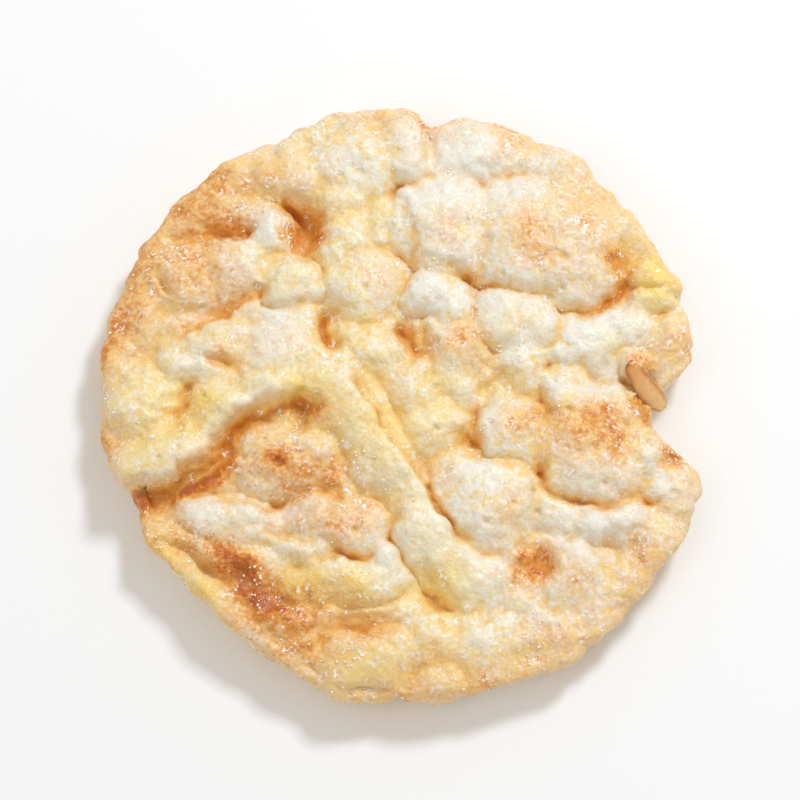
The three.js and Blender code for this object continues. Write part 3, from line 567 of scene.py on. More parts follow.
def skin(angle, side):
    """Points of the skin. side runs from 0 to 1 over the top, to 2 round the rim, to 3 underneath.
    The section is a superellipse, and the relief moves each point along the section's normal."""
    inner = outline(angle) - EDGE
    roll = np.clip(side - 1, 0, 1) * np.pi
    turned = np.cos(roll)
    out = np.maximum(np.sin(roll), 0) ** (2 / RIM_SQUARENESS)
    up = np.abs(turned) ** (2 / RIM_SQUARENESS)
    rim = inner + EDGE * out - UNDERCUT * np.maximum(-turned, 0)
    reach = np.where(side < 1, side * inner, np.where(side > 2, (3 - side) * rim, rim))
    crown = np.where(side < 1, CROWN_FALL * (1 - side ** 2), 0)
    end = np.where(turned > 0, CROWN_HEIGHT - CROWN_FALL, SOLE_HEIGHT)
    height = WAIST_HEIGHT + (end - WAIST_HEIGHT) * up + crown
    x, y = reach * np.cos(angle), reach * np.sin(angle)
    top = np.clip((turned - TOP_FADE[0]) / (TOP_FADE[1] - TOP_FADE[0]), 0, 1)
    top = top * top * (3 - 2 * top)
    at_rim = np.sin(roll)
    wall = octaves(WALL_LUMPS, x + WALL_DRIFT[0] * height, y + WALL_DRIFT[1] * height)
    faces = top * (top_relief(x, y - PATTERN_FRONT) - MEAN_RISE) + (1 - top) * sole_relief(x, y)
    swell = (1 + (RIM_RELIEF - 1) * at_rim) * faces + at_rim * wall
    return np.stack([
        x + swell * at_rim * np.cos(angle),
        y + swell * at_rim * np.sin(angle),
        np.maximum(height + swell * turned, 0),
    ], 1)


def disc(cells):
    """A square grid bent into a disc: each square ring becomes a circle. Direction and reach."""
    a, b = np.meshgrid(np.linspace(-1, 1, cells + 1), np.linspace(-1, 1, cells + 1))
    a, b = a.ravel(), b.ravel()
    wide = np.abs(a) > np.abs(b)
    safe_a, safe_b = np.where(a == 0, 1, a), np.where(b == 0, 1, b)
    angle = np.where(
        wide,
        np.pi / 4 * b / safe_a + np.where(a < 0, np.pi, 0),
        np.pi / 2 - np.pi / 4 * a / safe_b + np.where(b < 0, np.pi, 0),
    )
    return angle, np.maximum(np.abs(a), np.abs(b))


def grid_index(cells):
    """The point numbers of a square grid, by row and column."""
    return np.arange((cells + 1) ** 2).reshape(cells + 1, cells + 1)


def border(cells):
    """The grid's border, once round anticlockwise from its lowest corner."""
    g = grid_index(cells)
    return np.concatenate([g[0, :-1], g[:-1, -1], g[-1, :0:-1], g[:0:-1, 0]])


def quads(a, b, c, d):
    """Two triangles for each square, each point list flattened."""
    return np.concatenate([np.stack([a, b, c], 1), np.stack([a, c, d], 1)])


top_angle, top_reach = disc(TOP_CELLS)
sole_angle, sole_reach = disc(SOLE_CELLS)
ring_angle = np.tile(top_angle[border(TOP_CELLS)], RIM_RINGS - 1)
ring_side = np.repeat(1 + np.arange(1, RIM_RINGS) / RIM_RINGS, 4 * TOP_CELLS)
points = skin(
    np.concatenate([top_angle, sole_angle, ring_angle]),
    np.concatenate([top_reach, 3 - sole_reach, ring_side]),
)
top_count, sole_count = len(top_angle), len(sole_angle)
skin_low, skin_high = points[:, 2].min(), points[:, 2].max()
print(len(points), "skin points, from", skin_low.round(2), "to", skin_high.round(2), "mm high")

# %% The skin's faces
def disc_faces(index):
    """Two triangles for each cell of a bent grid, split along the diagonal that points to the
    middle, since the other one would lie almost along the disc's edge at its four corners."""
    half = (len(index) - 1) // 2
    corners = [index[:-1, :-1], index[:-1, 1:], index[1:, 1:], index[1:, :-1]]
    blocks = []
    for rows, columns, shift in [(0, 0, 0), (0, 1, 1), (1, 1, 0), (1, 0, 1)]:
        block = [c[rows * half:(rows + 1) * half, columns * half:(columns + 1) * half] for c in corners]
        block = [c.ravel() for c in block[shift:] + block[:shift]]
        blocks.append(quads(*block))
    return np.concatenate(blocks)


faces = [disc_faces(grid_index(TOP_CELLS)), disc_faces(grid_index(SOLE_CELLS))[:, ::-1] + top_count]
upper = border(TOP_CELLS)
for ring in range(RIM_RINGS - 1):
    lower = top_count + sole_count + ring * 4 * TOP_CELLS + np.arange(4 * TOP_CELLS)
    faces.append(quads(upper, lower, np.roll(lower, -1), np.roll(upper, -1)))
    upper = lower
low = border(SOLE_CELLS) + top_count
left, middle, right = upper[0::2], upper[1::2], np.roll(upper[0::2], -1)
faces += [
    np.stack([left, low, middle], 1),
    np.stack([middle, low, np.roll(low, -1)], 1),
    np.stack([middle, np.roll(low, -1), right], 1),
]
faces = np.concatenate(faces)
print("skin triangles:", len(faces))


# %% [markdown]
# ## Where it is toasted, and where shade and light are painted
# The hot plates brown what touches them, and oil and starch turn yellow where the crust is thin.
# Some of the toast spots are painted shade, and some of the white spots painted light.
# Where a plump grain stood clear of the plates it stays white. Each patch is a soft spot written
# one by one, and noise eats into its edge later, in the material.

# %% Patches of colour
# x, y, reach, strength, and a negative strength takes toast away. Some spots are painted shade
# rather than toast, where the cake lies in shade, and the negative ones are painted light.
TOAST_AND_SHADE_SPOTS = [
    # upper left, and the rim beside it
    (-10.0, 19.8, 2.4, 0.7), (-17.6, 19.0, 2.2, 0.7), (-14.4, 18.6, 2.8, 0.8), (-6.0, 19.0, 1.6, 0.3),
    (-22.8, 15.4, 2.8, 0.9), (-18.0, 16.0, 2.2, 0.6), (-17.0, 15.4, 1.6, 0.2), (-14.2, 14.9, 1.5, 1.2),
    (-8.0, 15.0, 1.7, 1.9), (-7.8, 13.8, 1.0, 0.6), (-24.0, 11.0, 3.2, 0.9), (-17.0, 13.0, 2.6, 0.4),
    (-16.6, 11.6, 2.2, 0.25), (-15.6, 10.8, 2.4, 0.3), (-19.2, 10.0, 2.8, 0.5), (-14.0, 8.8, 2.2, 0.5),
    (-24.8, 4.6, 2.0, 0.9), (-22.6, 6.6, 2.8, 0.7), (-17.8, 6.6, 1.6, 0.3), (-12.6, 4.8, 2.2, 0.2),
    (-9.0, 5.4, 1.9, 0.3), (-6.0, 6.0, 1.4, 0.2), (-14.6, 4.2, 1.3, 0.6),
    # the valley, and the slopes under it
    (-17.6, -1.4, 1.6, 0.5), (-10.6, -0.7, 1.8, -0.8), (-6.2, -1.2, 1.3, 0.9), (-24.8, -3.6, 1.8, 1.0),
    (-11.8, -3.4, 0.7, 0.6), (-9.6, -4.2, 1.6, 0.4), (-17.3, -6.7, 1.2, 2.0), (-15.6, -5.9, 1.0, 1.3),
    (-14.8, -4.6, 1.1, 1.1), (-12.8, -6.0, 1.6, 0.4), (-12.4, -6.4, 1.6, 0.15), (-10.8, -4.8, 1.2, 0.5),
    (-10.1, -5.6, 0.5, 1.2), (-9.4, -6.1, 2.4, 1.1), (-8.0, -7.4, 1.4, 0.1), (-5.8, -6.0, 2.0, 0.6),
    (-5.0, -6.6, 1.5, 0.4), (-5.0, -6.8, 1.4, 0.4), (-21.4, -9.0, 1.7, 0.9),
    # lower left
    (-22.8, -10.4, 1.4, 0.6), (-18.6, -10.4, 2.2, 0.5), (-3.0, -10.0, 1.8, 0.6), (-22.6, -12.6, 2.0, 1.2),
    (-17.6, -12.4, 1.8, 0.7), (-14.4, -12.6, 1.7, 1.9), (-9.4, -10.6, 2.2, 0.5), (-5.6, -10.6, 2.0, 0.8),
    (-13.6, -15.4, 1.4, 1.0), (-12.6, -14.5, 1.6, 2.0), (-7.8, -15.8, 1.8, 0.3), (-16.8, -17.0, 1.0, 0.9),
    (-14.2, -19.0, 1.2, 0.2), (-13.6, -18.4, 1.8, 0.4), (-11.0, -17.0, 1.9, 2.1), (-10.4, -17.6, 1.6, 0.6),
    (-7.4, -18.0, 2.4, 0.7), (-4.0, -16.6, 1.8, 0.3), (-2.4, -18.6, 2.0, 0.6), (-10.6, -21.4, 1.6, 0.5),
    (-8.4, -20.2, 2.0, 0.7), (-5.8, -21.0, 2.0, 0.6), (-1.6, -19.8, 1.6, 0.5),
    # bottom and lower right
    (-0.8, -9.6, 1.6, 0.2), (11.2, -13.5, 1.6, 1.5), (19.6, -12.8, 1.8, 0.7), (2.8, -16.2, 1.4, 0.3),
    (10.0, -15.1, 1.7, 1.1), (15.0, -15.0, 2.0, 0.6), (10.6, -19.4, 1.8, 0.1), (14.6, -19.4, 2.2, 0.2),
    (19.0, -17.0, 2.2, 0.2), (2.7, -21.8, 1.7, 0.7), (9.6, -21.6, 2.0, 0.2), (11.8, -19.6, 1.8, 0.5),
    (0.6, -23.6, 1.7, 0.6), (6.2, -23.4, 2.0, 0.5),
    # right
    (19.9, 3.4, 1.2, 1.2), (22.8, 4.4, 2.0, 0.8), (11.8, -1.0, 0.9, 0.8), (20.3, 0.0, 1.0, 1.3),
    (12.8, -2.4, 1.2, 0.4), (14.4, -3.6, 2.2, 0.8), (16.7, -1.6, 2.2, 1.1), (17.6, -4.2, 1.6, 0.4),
    (18.0, -4.4, 1.8, 0.6), (21.0, -1.6, 1.2, 1.3), (22.8, -4.4, 1.3, 1.2), (11.4, -5.4, 1.2, 0.5),
    (16.4, -8.7, 2.0, 0.3), (18.6, -8.2, 1.3, 0.5), (21.4, -8.8, 1.6, 0.3),
    # the big pillow, and the top rim
    (-1.6, 24.2, 2.0, 0.5), (3.2, 24.6, 1.8, 0.9), (9.6, 24.0, 2.4, 0.5), (1.6, 21.6, 1.4, 0.3),
    (8.6, 21.6, 2.2, 0.3), (13.3, 18.9, 2.2, 0.2), (15.4, 17.2, 2.4, 0.25), (17.3, 18.0, 2.2, 0.3),
    (3.8, 14.6, 1.8, 0.35), (5.0, 14.6, 3.2, 0.15), (8.4, 16.4, 2.6, 0.1), (10.4, 15.8, 1.4, 0.5),
    (11.4, 13.6, 1.9, 0.8), (15.6, 16.0, 1.6, 0.4), (16.0, 13.8, 2.0, 0.4), (22.0, 15.0, 2.0, 0.4),
    (-2.6, 10.8, 1.8, 0.2), (0.9, 11.6, 1.0, 0.4), (6.4, 10.9, 1.0, 0.6), (11.0, 13.0, 5.0, 0.08),
    (12.8, 11.6, 1.2, 0.5), (15.2, 11.6, 1.8, 0.2), (18.5, 12.2, 1.4, 1.3), (-1.4, 10.2, 1.4, 0.4),
    (16.4, 9.2, 1.5, 0.4), (18.9, 10.2, 1.2, 0.6),
    # the middle
    (0.9, 5.6, 1.3, 1.3), (5.4, 5.8, 1.5, 1.0), (10.6, 7.2, 1.4, 0.3), (1.6, 2.4, 1.2, 0.4),
    (1.8, 3.8, 0.9, 0.6), (4.4, 4.2, 1.1, 0.6), (6.7, 3.4, 1.2, 0.6), (8.0, 2.0, 1.0, 0.4),
    (5.4, -3.0, 1.5, 0.6), (9.5, -1.8, 1.8, 0.4), (10.4, -1.6, 1.4, 0.6), (4.0, -6.6, 1.2, 0.4),
    (9.2, -9.2, 2.0, 0.5),
]
YELLOW = [
    # upper left, and the rim beside it
    (-6.0, 17.4, 1.8, 0.5), (-8.2, 15.0, 1.6, 0.6), (-9.2, 10.2, 2.4, 0.5), (-6.0, 6.0, 1.8, 0.9),
    (-13.4, 2.0, 2.4, 0.2), (-9.0, 2.2, 2.6, 0.15), (-21.0, 1.4, 2.6, 0.35),
    # the valley, and the slopes under it
    (-17.2, -0.4, 2.2, 0.9), (-15.4, -0.4, 1.8, 0.6), (-8.4, 0.6, 2.4, 0.6), (-7.4, -0.2, 2.0, 0.9),
    (-20.6, -3.0, 3.2, 0.6), (-16.0, -2.8, 2.4, 0.3), (-3.0, -1.6, 2.6, 0.7),
    # lower left
    (-19.0, -12.6, 1.6, 1.2), (-20.8, -14.2, 1.6, 0.9), (-16.6, -16.2, 1.9, 1.4), (-8.0, -15.8, 2.2, 1.5),
    (-3.4, -15.6, 2.0, 1.3), (-3.0, -22.2, 2.6, 1.0),
    # bottom and lower right
    (2.4, -12.4, 2.4, 0.4), (2.8, -15.8, 2.0, 1.2), (5.6, -15.2, 2.2, 0.6), (5.0, -18.0, 2.0, 0.3),
    (4.2, -21.6, 2.2, 0.5),
    # right
    (21.3, 8.8, 1.5, 1.2), (17.8, 4.5, 1.6, 0.6), (19.0, 0.0, 1.4, 0.4), (24.4, -0.4, 2.0, 0.6),
    (12.2, -8.0, 1.4, 0.5),
    # the big pillow, and the top rim
    (-4.4, 20.2, 2.4, 0.1), (-1.4, 16.4, 2.2, 0.25), (-3.4, 13.0, 2.6, 0.2), (18.9, 12.4, 1.3, 0.9),
    (21.8, 11.0, 1.8, 1.5), (23.0, 13.2, 1.6, 0.8), (-3.6, 9.6, 2.2, 0.3),
    # the middle
    (-2.6, 5.4, 2.4, 0.4), (1.0, 6.0, 1.6, 0.4), (7.4, 5.0, 1.1, 0.8), (9.6, 6.6, 1.6, 0.6),
    (8.6, 1.6, 1.4, 0.4), (4.4, 0.6, 2.0, 0.5), (7.6, 1.0, 1.3, 0.4), (0.0, -2.6, 1.4, 0.4),
    (1.6, -2.6, 2.6, 0.5), (5.4, -3.2, 1.6, 0.5), (-1.0, -6.0, 2.4, 0.6), (2.0, -8.6, 2.0, 0.3),
]
# x, y, reach, strength: white foam, and in some spots painted light on slopes that lie in shade
WHITE_AND_LIT_SPOTS = [
    # upper left, and the rim beside it
    (-11.6, 14.9, 1.7, 1.6), (-16.4, 8.4, 1.3, 0.5), (-14.0, 10.0, 1.9, 0.6), (-6.2, 8.4, 1.4, 0.4),
    (-5.0, 8.6, 1.2, 0.5), (-12.6, 7.2, 2.0, 0.5), (-11.6, 5.0, 1.8, 0.3), (-9.6, 6.6, 2.2, 0.6),
    (-9.0, 7.4, 1.8, 0.4), (-17.4, 2.4, 1.6, 0.9), (-14.4, 1.8, 1.4, 0.4), (-9.8, 3.8, 2.4, 0.4),
    # the valley, and the slopes under it
    (-13.0, -6.4, 1.6, 0.3), (-9.4, -8.8, 2.2, 0.9), (-8.4, -8.4, 1.6, 0.8),
    # lower left
    (-16.0, -9.8, 2.6, 0.9), (-5.4, -10.4, 2.4, 0.2), (-12.6, -11.6, 1.8, 0.4), (-9.4, -12.9, 2.2, 0.5),
    (-4.8, -12.8, 1.4, 0.5), (-6.4, -14.0, 1.4, 0.5), (-12.0, -19.0, 1.4, 0.5), (-12.2, -20.0, 0.9, 0.6),
    # bottom and lower right
    (3.4, -9.4, 1.3, 0.4), (4.0, -10.0, 1.0, 0.6), (-1.0, -12.6, 2.2, 1.0), (1.8, -13.0, 1.8, 0.7),
    (5.4, -11.6, 2.4, 0.3), (7.4, -13.2, 2.4, 0.8), (13.4, -11.6, 2.4, 0.5), (17.2, -10.9, 2.8, 1.3),
    (24.0, -10.6, 2.0, 0.4), (7.6, -15.4, 2.4, 0.3), (6.4, -18.6, 2.8, 0.5), (12.0, -18.0, 2.0, 0.4),
    (12.4, -17.2, 2.4, 0.4), (17.0, -18.0, 2.6, 0.4),
    # right
    (17.4, 8.0, 1.6, 0.4), (21.2, 8.4, 1.2, 0.4), (13.6, 6.2, 3.0, 1.0), (18.6, 6.8, 2.6, 0.7),
    (16.8, 1.6, 1.6, 0.6), (16.8, 3.0, 1.6, 0.4), (18.3, 2.2, 1.2, 0.9), (12.2, 0.8, 1.0, 0.5),
    (15.4, -6.6, 2.4, 0.5), (21.4, -5.8, 1.8, 0.8), (12.0, -8.8, 1.6, 0.4), (24.2, -7.6, 1.6, 0.6),
    # the big pillow, and the top rim
    (1.4, 22.6, 1.8, 0.8), (6.6, 22.6, 2.6, 0.6), (-4.4, 19.8, 1.8, 0.8), (4.8, 20.0, 3.4, 1.2),
    (7.4, 19.8, 1.8, 0.3), (10.6, 19.6, 2.6, 0.7), (14.0, 21.4, 2.0, 0.3), (0.2, 18.4, 1.3, 0.9),
    (1.4, 18.4, 1.8, 0.5), (9.4, 17.6, 2.4, 0.4), (3.6, 16.4, 2.6, 0.5), (7.6, 13.6, 1.6, 0.4),
    (-2.4, 13.2, 2.2, 0.3), (4.6, 12.4, 2.2, 0.4), (11.0, 10.8, 2.6, 0.3), (15.4, 13.0, 2.4, 0.4),
    (-2.2, 9.4, 1.8, 0.5), (2.4, 10.4, 2.2, 0.8), (7.0, 9.4, 1.4, 0.3),
    # the middle
    (2.2, 7.9, 1.3, 1.0), (6.4, 9.0, 1.6, 0.5), (8.6, 8.4, 2.2, 1.2), (3.2, 7.4, 1.8, 0.5),
    (7.6, 4.8, 1.4, 0.8), (9.6, 5.0, 1.6, 0.5), (8.2, 3.8, 1.2, 0.5), (6.8, -0.4, 1.6, 0.9),
    (7.0, -0.6, 1.6, 0.4), (6.8, -4.2, 1.2, 0.5), (-1.0, -7.0, 1.8, 0.6), (2.2, -6.6, 1.2, 0.4),
    (6.4, -6.0, 2.4, 0.6), (3.0, -8.0, 2.2, 0.3),
]


def patches(x, y, spots):
    """Soft spots added up: each a bell curve of its reach, at most its strength."""
    total = np.zeros(x.shape)
    for cx, cy, reach, strength in spots:
        total += strength * np.exp(-((x - cx) ** 2 + (y - cy) ** 2) / reach ** 2)
    return total


# %% [markdown]
# ## The foam's own surface
# Close up, a puff is a crust of tiny burst bubbles. They are moved along the surface's normal,
# so they sit as well on a steep flank as on a flat crown. Three sizes of bubble are enough:
# 2.4 mm for the swellings inside one grain, 1.1 mm for its blisters and 0.5 mm for the sandy
# crust. Here and there one has burst into a pore. The plain white places are the smoothest.


# %% Crust of bubbles
BUBBLES = [(50, 2.4, 0.32), (60, 1.1, 0.14), (70, 0.5, 0.06)]   # seed, size and height in mm
SAND = [(80, 1.3, 0.11), (81, 0.55, 0.08)]
BUBBLE_REACH, BUBBLE_MEAN = 0.95, 0.8     # radius as a share of its cell, and a dome's mean height
PORE_CELL, PORE_CHANCE = 1.5, 0.16        # mm between places for a pore, and how many have one
PORE_REACH, PORE_DEPTH = 0.22, 0.28       # a share of the cell, and mm
RESTING = 0.05                            # mm: below this the skin is pressed flat on the table


def vertex_normals(points, faces):
    """The normal of each point: the sum of its faces' cross products, made unit length."""
    a, b, c = points[faces[:, 0]], points[faces[:, 1]], points[faces[:, 2]]
    cross = np.cross(b - a, c - a)
    total = np.zeros(points.shape)
    for corner in range(3):
        for axis in range(3):
            total[:, axis] += np.bincount(faces[:, corner], cross[:, axis], len(points))
    return total / np.maximum(np.linalg.norm(total, axis=1, keepdims=True), 1e-9)


def dome(reach, size):
    """A round bubble's height from its distance to the middle, 1 in the middle, 0 at the edge."""
    return np.sqrt(np.maximum(1 - (reach / size) ** 2, 0))


normals = vertex_normals(points, faces)
pattern_x, pattern_y = wavered(points[:, 0], points[:, 1] - PATTERN_FRONT)
on_top = np.clip((normals[:, 2] + 0.4) / 0.6, 0, 1)   # 1 on the top and 0 underneath
plain = on_top * patches(pattern_x, pattern_y, WHITE_AND_LIT_SPOTS)
# rougher and smoother regions, and the smoothest where the foam is plain white
rough = np.clip(0.8 + 0.45 * lumps(points, 41, 6.0) - 0.8 * plain, 0.15, 1.2)
crust = np.zeros(len(points))
for seed, size, height in BUBBLES:
    reach, _ = bubbles(points, seed, size)
    crust += height * (rough if size > 1 else 1) * (dome(reach, BUBBLE_REACH) - BUBBLE_MEAN)
for seed, size, height in SAND:
    crust += height * (rough if size > 1 else 1) * lumps(points, seed, size)
pore_reach, pore_kind = bubbles(points, 90, PORE_CELL)
crust -= PORE_DEPTH * (pore_kind < PORE_CHANCE) * dome(pore_reach, PORE_REACH)
crust = np.where(points[:, 2] < RESTING, np.minimum(crust, 0) * 0.3, crust)
coarse = points.copy()
points = points + crust[:, None] * normals
points[:, 2] = np.maximum(points[:, 2], 0)
print("crust from", crust.min().round(2), "to", crust.max().round(2), "mm")


# %% Fit the skin into the frame's box
def fitted(points, box):
    """Move the skin's box onto the middle of the frame's, and shrink it where it is larger."""
    low, high = points.min(0), points.max(0)
    share = np.minimum((box[1] - box[0]) / (high - low), 1)
    middle = (low + high) / 2
    return (points - middle) * share + (box[0] + box[1]) / 2, share


points, share = fitted(points, cad_box)
print("the skin's length, width and height were multiplied by", share.round(4))


# %% How a piece is made
def new_piece(name, points, faces, material):
    """A mesh object at the origin from points in millimetres and triangles."""
    mesh = bpy.data.meshes.new(name)
    mesh.vertices.add(len(points))
    mesh.vertices.foreach_set("co", (points * MM).ravel())
    mesh.loops.add(faces.size)
    mesh.loops.foreach_set("vertex_index", faces.ravel().astype(np.int32))
    mesh.polygons.add(len(faces))
    mesh.polygons.foreach_set("loop_start", np.arange(0, faces.size, 3, dtype=np.int32))
    mesh.polygons.foreach_set("use_smooth", np.ones(len(faces), bool))
    mesh.update(calc_edges=True)
    mesh.validate()
    mesh.materials.append(material)
    piece = bpy.data.objects.new(name, mesh)
    bpy.context.scene.collection.objects.link(piece)
    return piece


def add_marks(piece, marks):
    """Store each mark as one number for each point, which a material can read by its name."""
    for name, values in marks.items():
        layer = piece.data.attributes.new(name, "FLOAT", "POINT")
        layer.data.foreach_set("value", values.astype(np.float32))


# %% [markdown]
# ## Marks for the material
# Five numbers for each point tell the material where it is: how toasted, how yellow and how
# white it is, how deep in a crease it lies and how steep it stands. The toast and white marks
# also carry painted shade and painted light in some spots, and the crease and steepness marks
# are where the material paints shade. Depth is how far a point lies below a blurred copy of the
# surface, once with a wide blur and once with a narrow one, and the seams are added to it, so
# that narrow creases count too. The underside has the same finish, in broad patches of its own.

# %% Depth, steepness and patches
WIDE_BLUR, NARROW_BLUR = 5, 3    # cells of the grid
RIM_TOAST, RIM_BAND = 0.4, 2.4   # strength, and mm inwards from the round outline
WIDE_SHARE, NARROW_SHARE, SEAM_SHARE = 0.8, 0.5, 0.36   # what each adds to the crease mark


def blurred(grid, cells):
    """A grid smoothed by a bell curve, as two passes of shifted and weighted sums."""
    weights = np.exp(-0.5 * (np.arange(-3 * cells, 3 * cells + 1) / cells) ** 2)
    weights /= weights.sum()
    for axis in range(2):
        padded = np.pad(grid, [(3 * cells, 3 * cells) if k == axis else (0, 0) for k in range(2)], "edge")
        length = grid.shape[axis]
        grid = sum(w * np.take(padded, np.arange(k, k + length), axis) for k, w in enumerate(weights))
    return grid


def hollow(heights, cells, blur):
    """How far each grid point lies below its surroundings, in mm."""
    grid = heights.reshape(cells + 1, cells + 1)
    return (blurred(grid, blur) - grid).ravel()


top_points, sole_points = slice(0, top_count), slice(top_count, top_count + sole_count)
depth, fine_depth = np.zeros(len(points)), np.zeros(len(points))
depth[top_points] = hollow(coarse[top_points, 2], TOP_CELLS, WIDE_BLUR)
depth[sole_points] = hollow(-coarse[sole_points, 2], SOLE_CELLS, NARROW_BLUR)
fine_depth[top_points] = hollow(points[top_points, 2], TOP_CELLS, NARROW_BLUR)
seam = seams(points[:, 0], points[:, 1] - PATTERN_FRONT)
fold_foot_shade = painted_fold_shade(points[:, 0], points[:, 1] - PATTERN_FRONT)
steep = 1 - np.clip(vertex_normals(coarse, faces)[:, 2], 0, 1)
rim = np.clip((np.hypot(coarse[:, 0], coarse[:, 1]) - RADIUS + RIM_BAND) / RIM_BAND, 0, 1) ** 2
# the underside's patches, all of them noise
below = 1 - on_top
broad = lumps(coarse, 101, 5.0)
under = 0.42 + 0.38 * lumps(coarse, 102, 6.0) + 0.2 * lumps(coarse, 103, 2.4)
# toast, with painted shade in some spots and at the foot of each long fold
top_toast = patches(pattern_x, pattern_y, TOAST_AND_SHADE_SPOTS) + fold_foot_shade + RIM_TOAST * rim
# the crease and flank marks say where shade is painted; toast and white also hold some painted shade and
# light
marks = {
    "toast": on_top * top_toast + below * under,
    "yellow": on_top * patches(pattern_x, pattern_y, YELLOW) + below * (0.25 + 0.3 * broad),
    "white": plain + below * (0.2 - 0.4 * broad),
    "crease": WIDE_SHARE * depth + NARROW_SHARE * fine_depth + SEAM_SHARE * on_top * seam,
    "flank": on_top * steep,
}
for name, values in marks.items():
    print(name, "from", values.min().round(2), "to", values.max().round(2))

# %% [markdown]
# ## Popped rice
# Starch foam scatters light under its skin, which softens its shadows and warms them, so the
# material has some subsurface light. Its colour starts cream. The marks lay white, gold and
# three depths of toast over it, each broken up by noise with lumps of 1.9, 0.8 and 0.34 mm,
# the grain of the crust; some of the white is painted light and some of the toast painted
# shade. Steep flanks are painted a warmer tan shade, and creases a deepening amber shade, for
# the light that bounces between their walls. Frost is sugar dust and painted glints, in drifts
# of fine white specks. Last comes a thin clear coat with bumps of its own, so that the dry
# crust glints.

# %% The popped rice material
# painted shade: the flank tan, the crease ambers and the toasts where toast spots paint shade; the frost
# white is partly painted glints
CREAM, FOAM_WHITE, FLANK_SHADE_TAN, GOLD = "#F6D896", "#F2F0E5", "#F4D2A0", "#F7D97C"
LIGHT_TOAST_AND_SHADE, DARK_TOAST_AND_SHADE, DEEPEST_TOAST_AND_SHADE = "#EFAF52", "#CC6914", "#B25C0C"
CREASE_SHADE_AMBER, DEEP_CREASE_SHADE_AMBER, SUGAR_FROST_AND_GLINT = "#F1C064", "#DA882C", "#F8F8F2"
BLOTCH, SPECK, CRUMB = 1.9, 0.8, 0.34   # mm, the sizes of the noises' lumps

rice, tree, output = new_material("popped_rice")
coords = add_node(tree, "ShaderNodeTexCoord").outputs["Object"]


# These four build into whatever tree is current, so every material sets tree and coords first.
def mark(name):
    """The output of an attribute node that reads one of a piece's marks."""
    return add_node(tree, "ShaderNodeAttribute", {"attribute_name": name}).outputs["Fac"]


def maths(operation, a, b=0.0, c=0.0, clamp=False):
    """One arithmetic step of the material."""
    settings = {"operation": operation, "use_clamp": clamp}
    return add_node(tree, "ShaderNodeMath", settings, _0=a, _1=b, _2=c).outputs[0]


def grain(size, gain, detail=2.0):
    """Noise with lumps of about this many millimetres, centred on 0 and gain times as strong."""
    fac = add_node(
        tree, "ShaderNodeTexNoise", Vector=coords, Scale=1 / (size * MM), Detail=detail, Roughness=0.6,
    ).outputs["Fac"]
    return maths("MULTIPLY_ADD", fac, gain, -gain / 2)


def over(factor, below, above):
    """One colour laid over another, by a factor from 0 to 1."""
    node = add_node(tree, "ShaderNodeMix", {"data_type": "RGBA"}, _0=factor, _6=below, _7=above)
    return node.outputs[2]


blotch, speck, crumb = grain(BLOTCH, 2.8), grain(SPECK, 3.2), grain(CRUMB, 4.0, 1.0)
toast, yellow, white = mark("toast"), mark("yellow"), mark("white")
crease, steepness = mark("crease"), mark("flank")

# white foam, and painted light where the white spots are; painted shade takes it away in the creases
snow = maths("MULTIPLY_ADD", speck, 1.0, maths("MULTIPLY", white, 0.85))
snow = maths("MULTIPLY_ADD", blotch, 0.6, snow)
snow = maths("MULTIPLY_ADD", crumb, 0.5, maths("MULTIPLY_ADD", crease, -0.9, snow))
snow = maths("ADD", snow, 0.36, clamp=True)
shade = over(snow, linear(CREAM), linear(FOAM_WHITE))

# painted warm shade on steep flanks, less of it on the white spots
flank = maths("MULTIPLY", maths("SUBTRACT", steepness, 0.12), 0.8)
flank = maths("MULTIPLY_ADD", white, -0.04, flank, clamp=True)
shade = over(flank, shade, linear(FLANK_SHADE_TAN))

# gold
mottle = maths("MULTIPLY_ADD", blotch, 0.6, maths("MULTIPLY", speck, 0.8))
gold = maths("MULTIPLY_ADD", mottle, maths("MULTIPLY_ADD", yellow, 0.5, 0.3), yellow)
gold = maths("MULTIPLY", gold, 0.68, clamp=True)
shade = over(gold, shade, linear(GOLD))

# toast, and painted shade in some spots and at the folds' feet: the more of it, the darker
brown_and_shade = maths("MULTIPLY_ADD", mottle, maths("MULTIPLY_ADD", toast, 0.45, 0.35), toast)
grit = maths("MULTIPLY", crumb, maths("MULTIPLY_ADD", toast, -0.25, -0.02))
brown_and_shade = maths("ADD", brown_and_shade, grit)
light_toast = maths("MULTIPLY", brown_and_shade, 0.75, clamp=True)
dark_toast = maths("MULTIPLY", maths("SUBTRACT", brown_and_shade, 0.8), 0.7, clamp=True)
shade = over(light_toast, shade, linear(LIGHT_TOAST_AND_SHADE))
shade = over(dark_toast, shade, linear(DARK_TOAST_AND_SHADE))
deepest_toast = maths("MULTIPLY", maths("SUBTRACT", brown_and_shade, 1.6), 0.7, clamp=True)
shade = over(deepest_toast, shade, linear(DEEPEST_TOAST_AND_SHADE))

# painted shade in the creases: amber, and a deeper amber in the deepest
crease_shade = maths("MULTIPLY", maths("SUBTRACT", crease, 0.08), 0.9, clamp=True)
shade = over(crease_shade, shade, linear(CREASE_SHADE_AMBER))
deep_crease_shade = maths("MULTIPLY", maths("SUBTRACT", crease, 0.5), 1.2, clamp=True)
shade = over(deep_crease_shade, shade, linear(DEEP_CREASE_SHADE_AMBER))

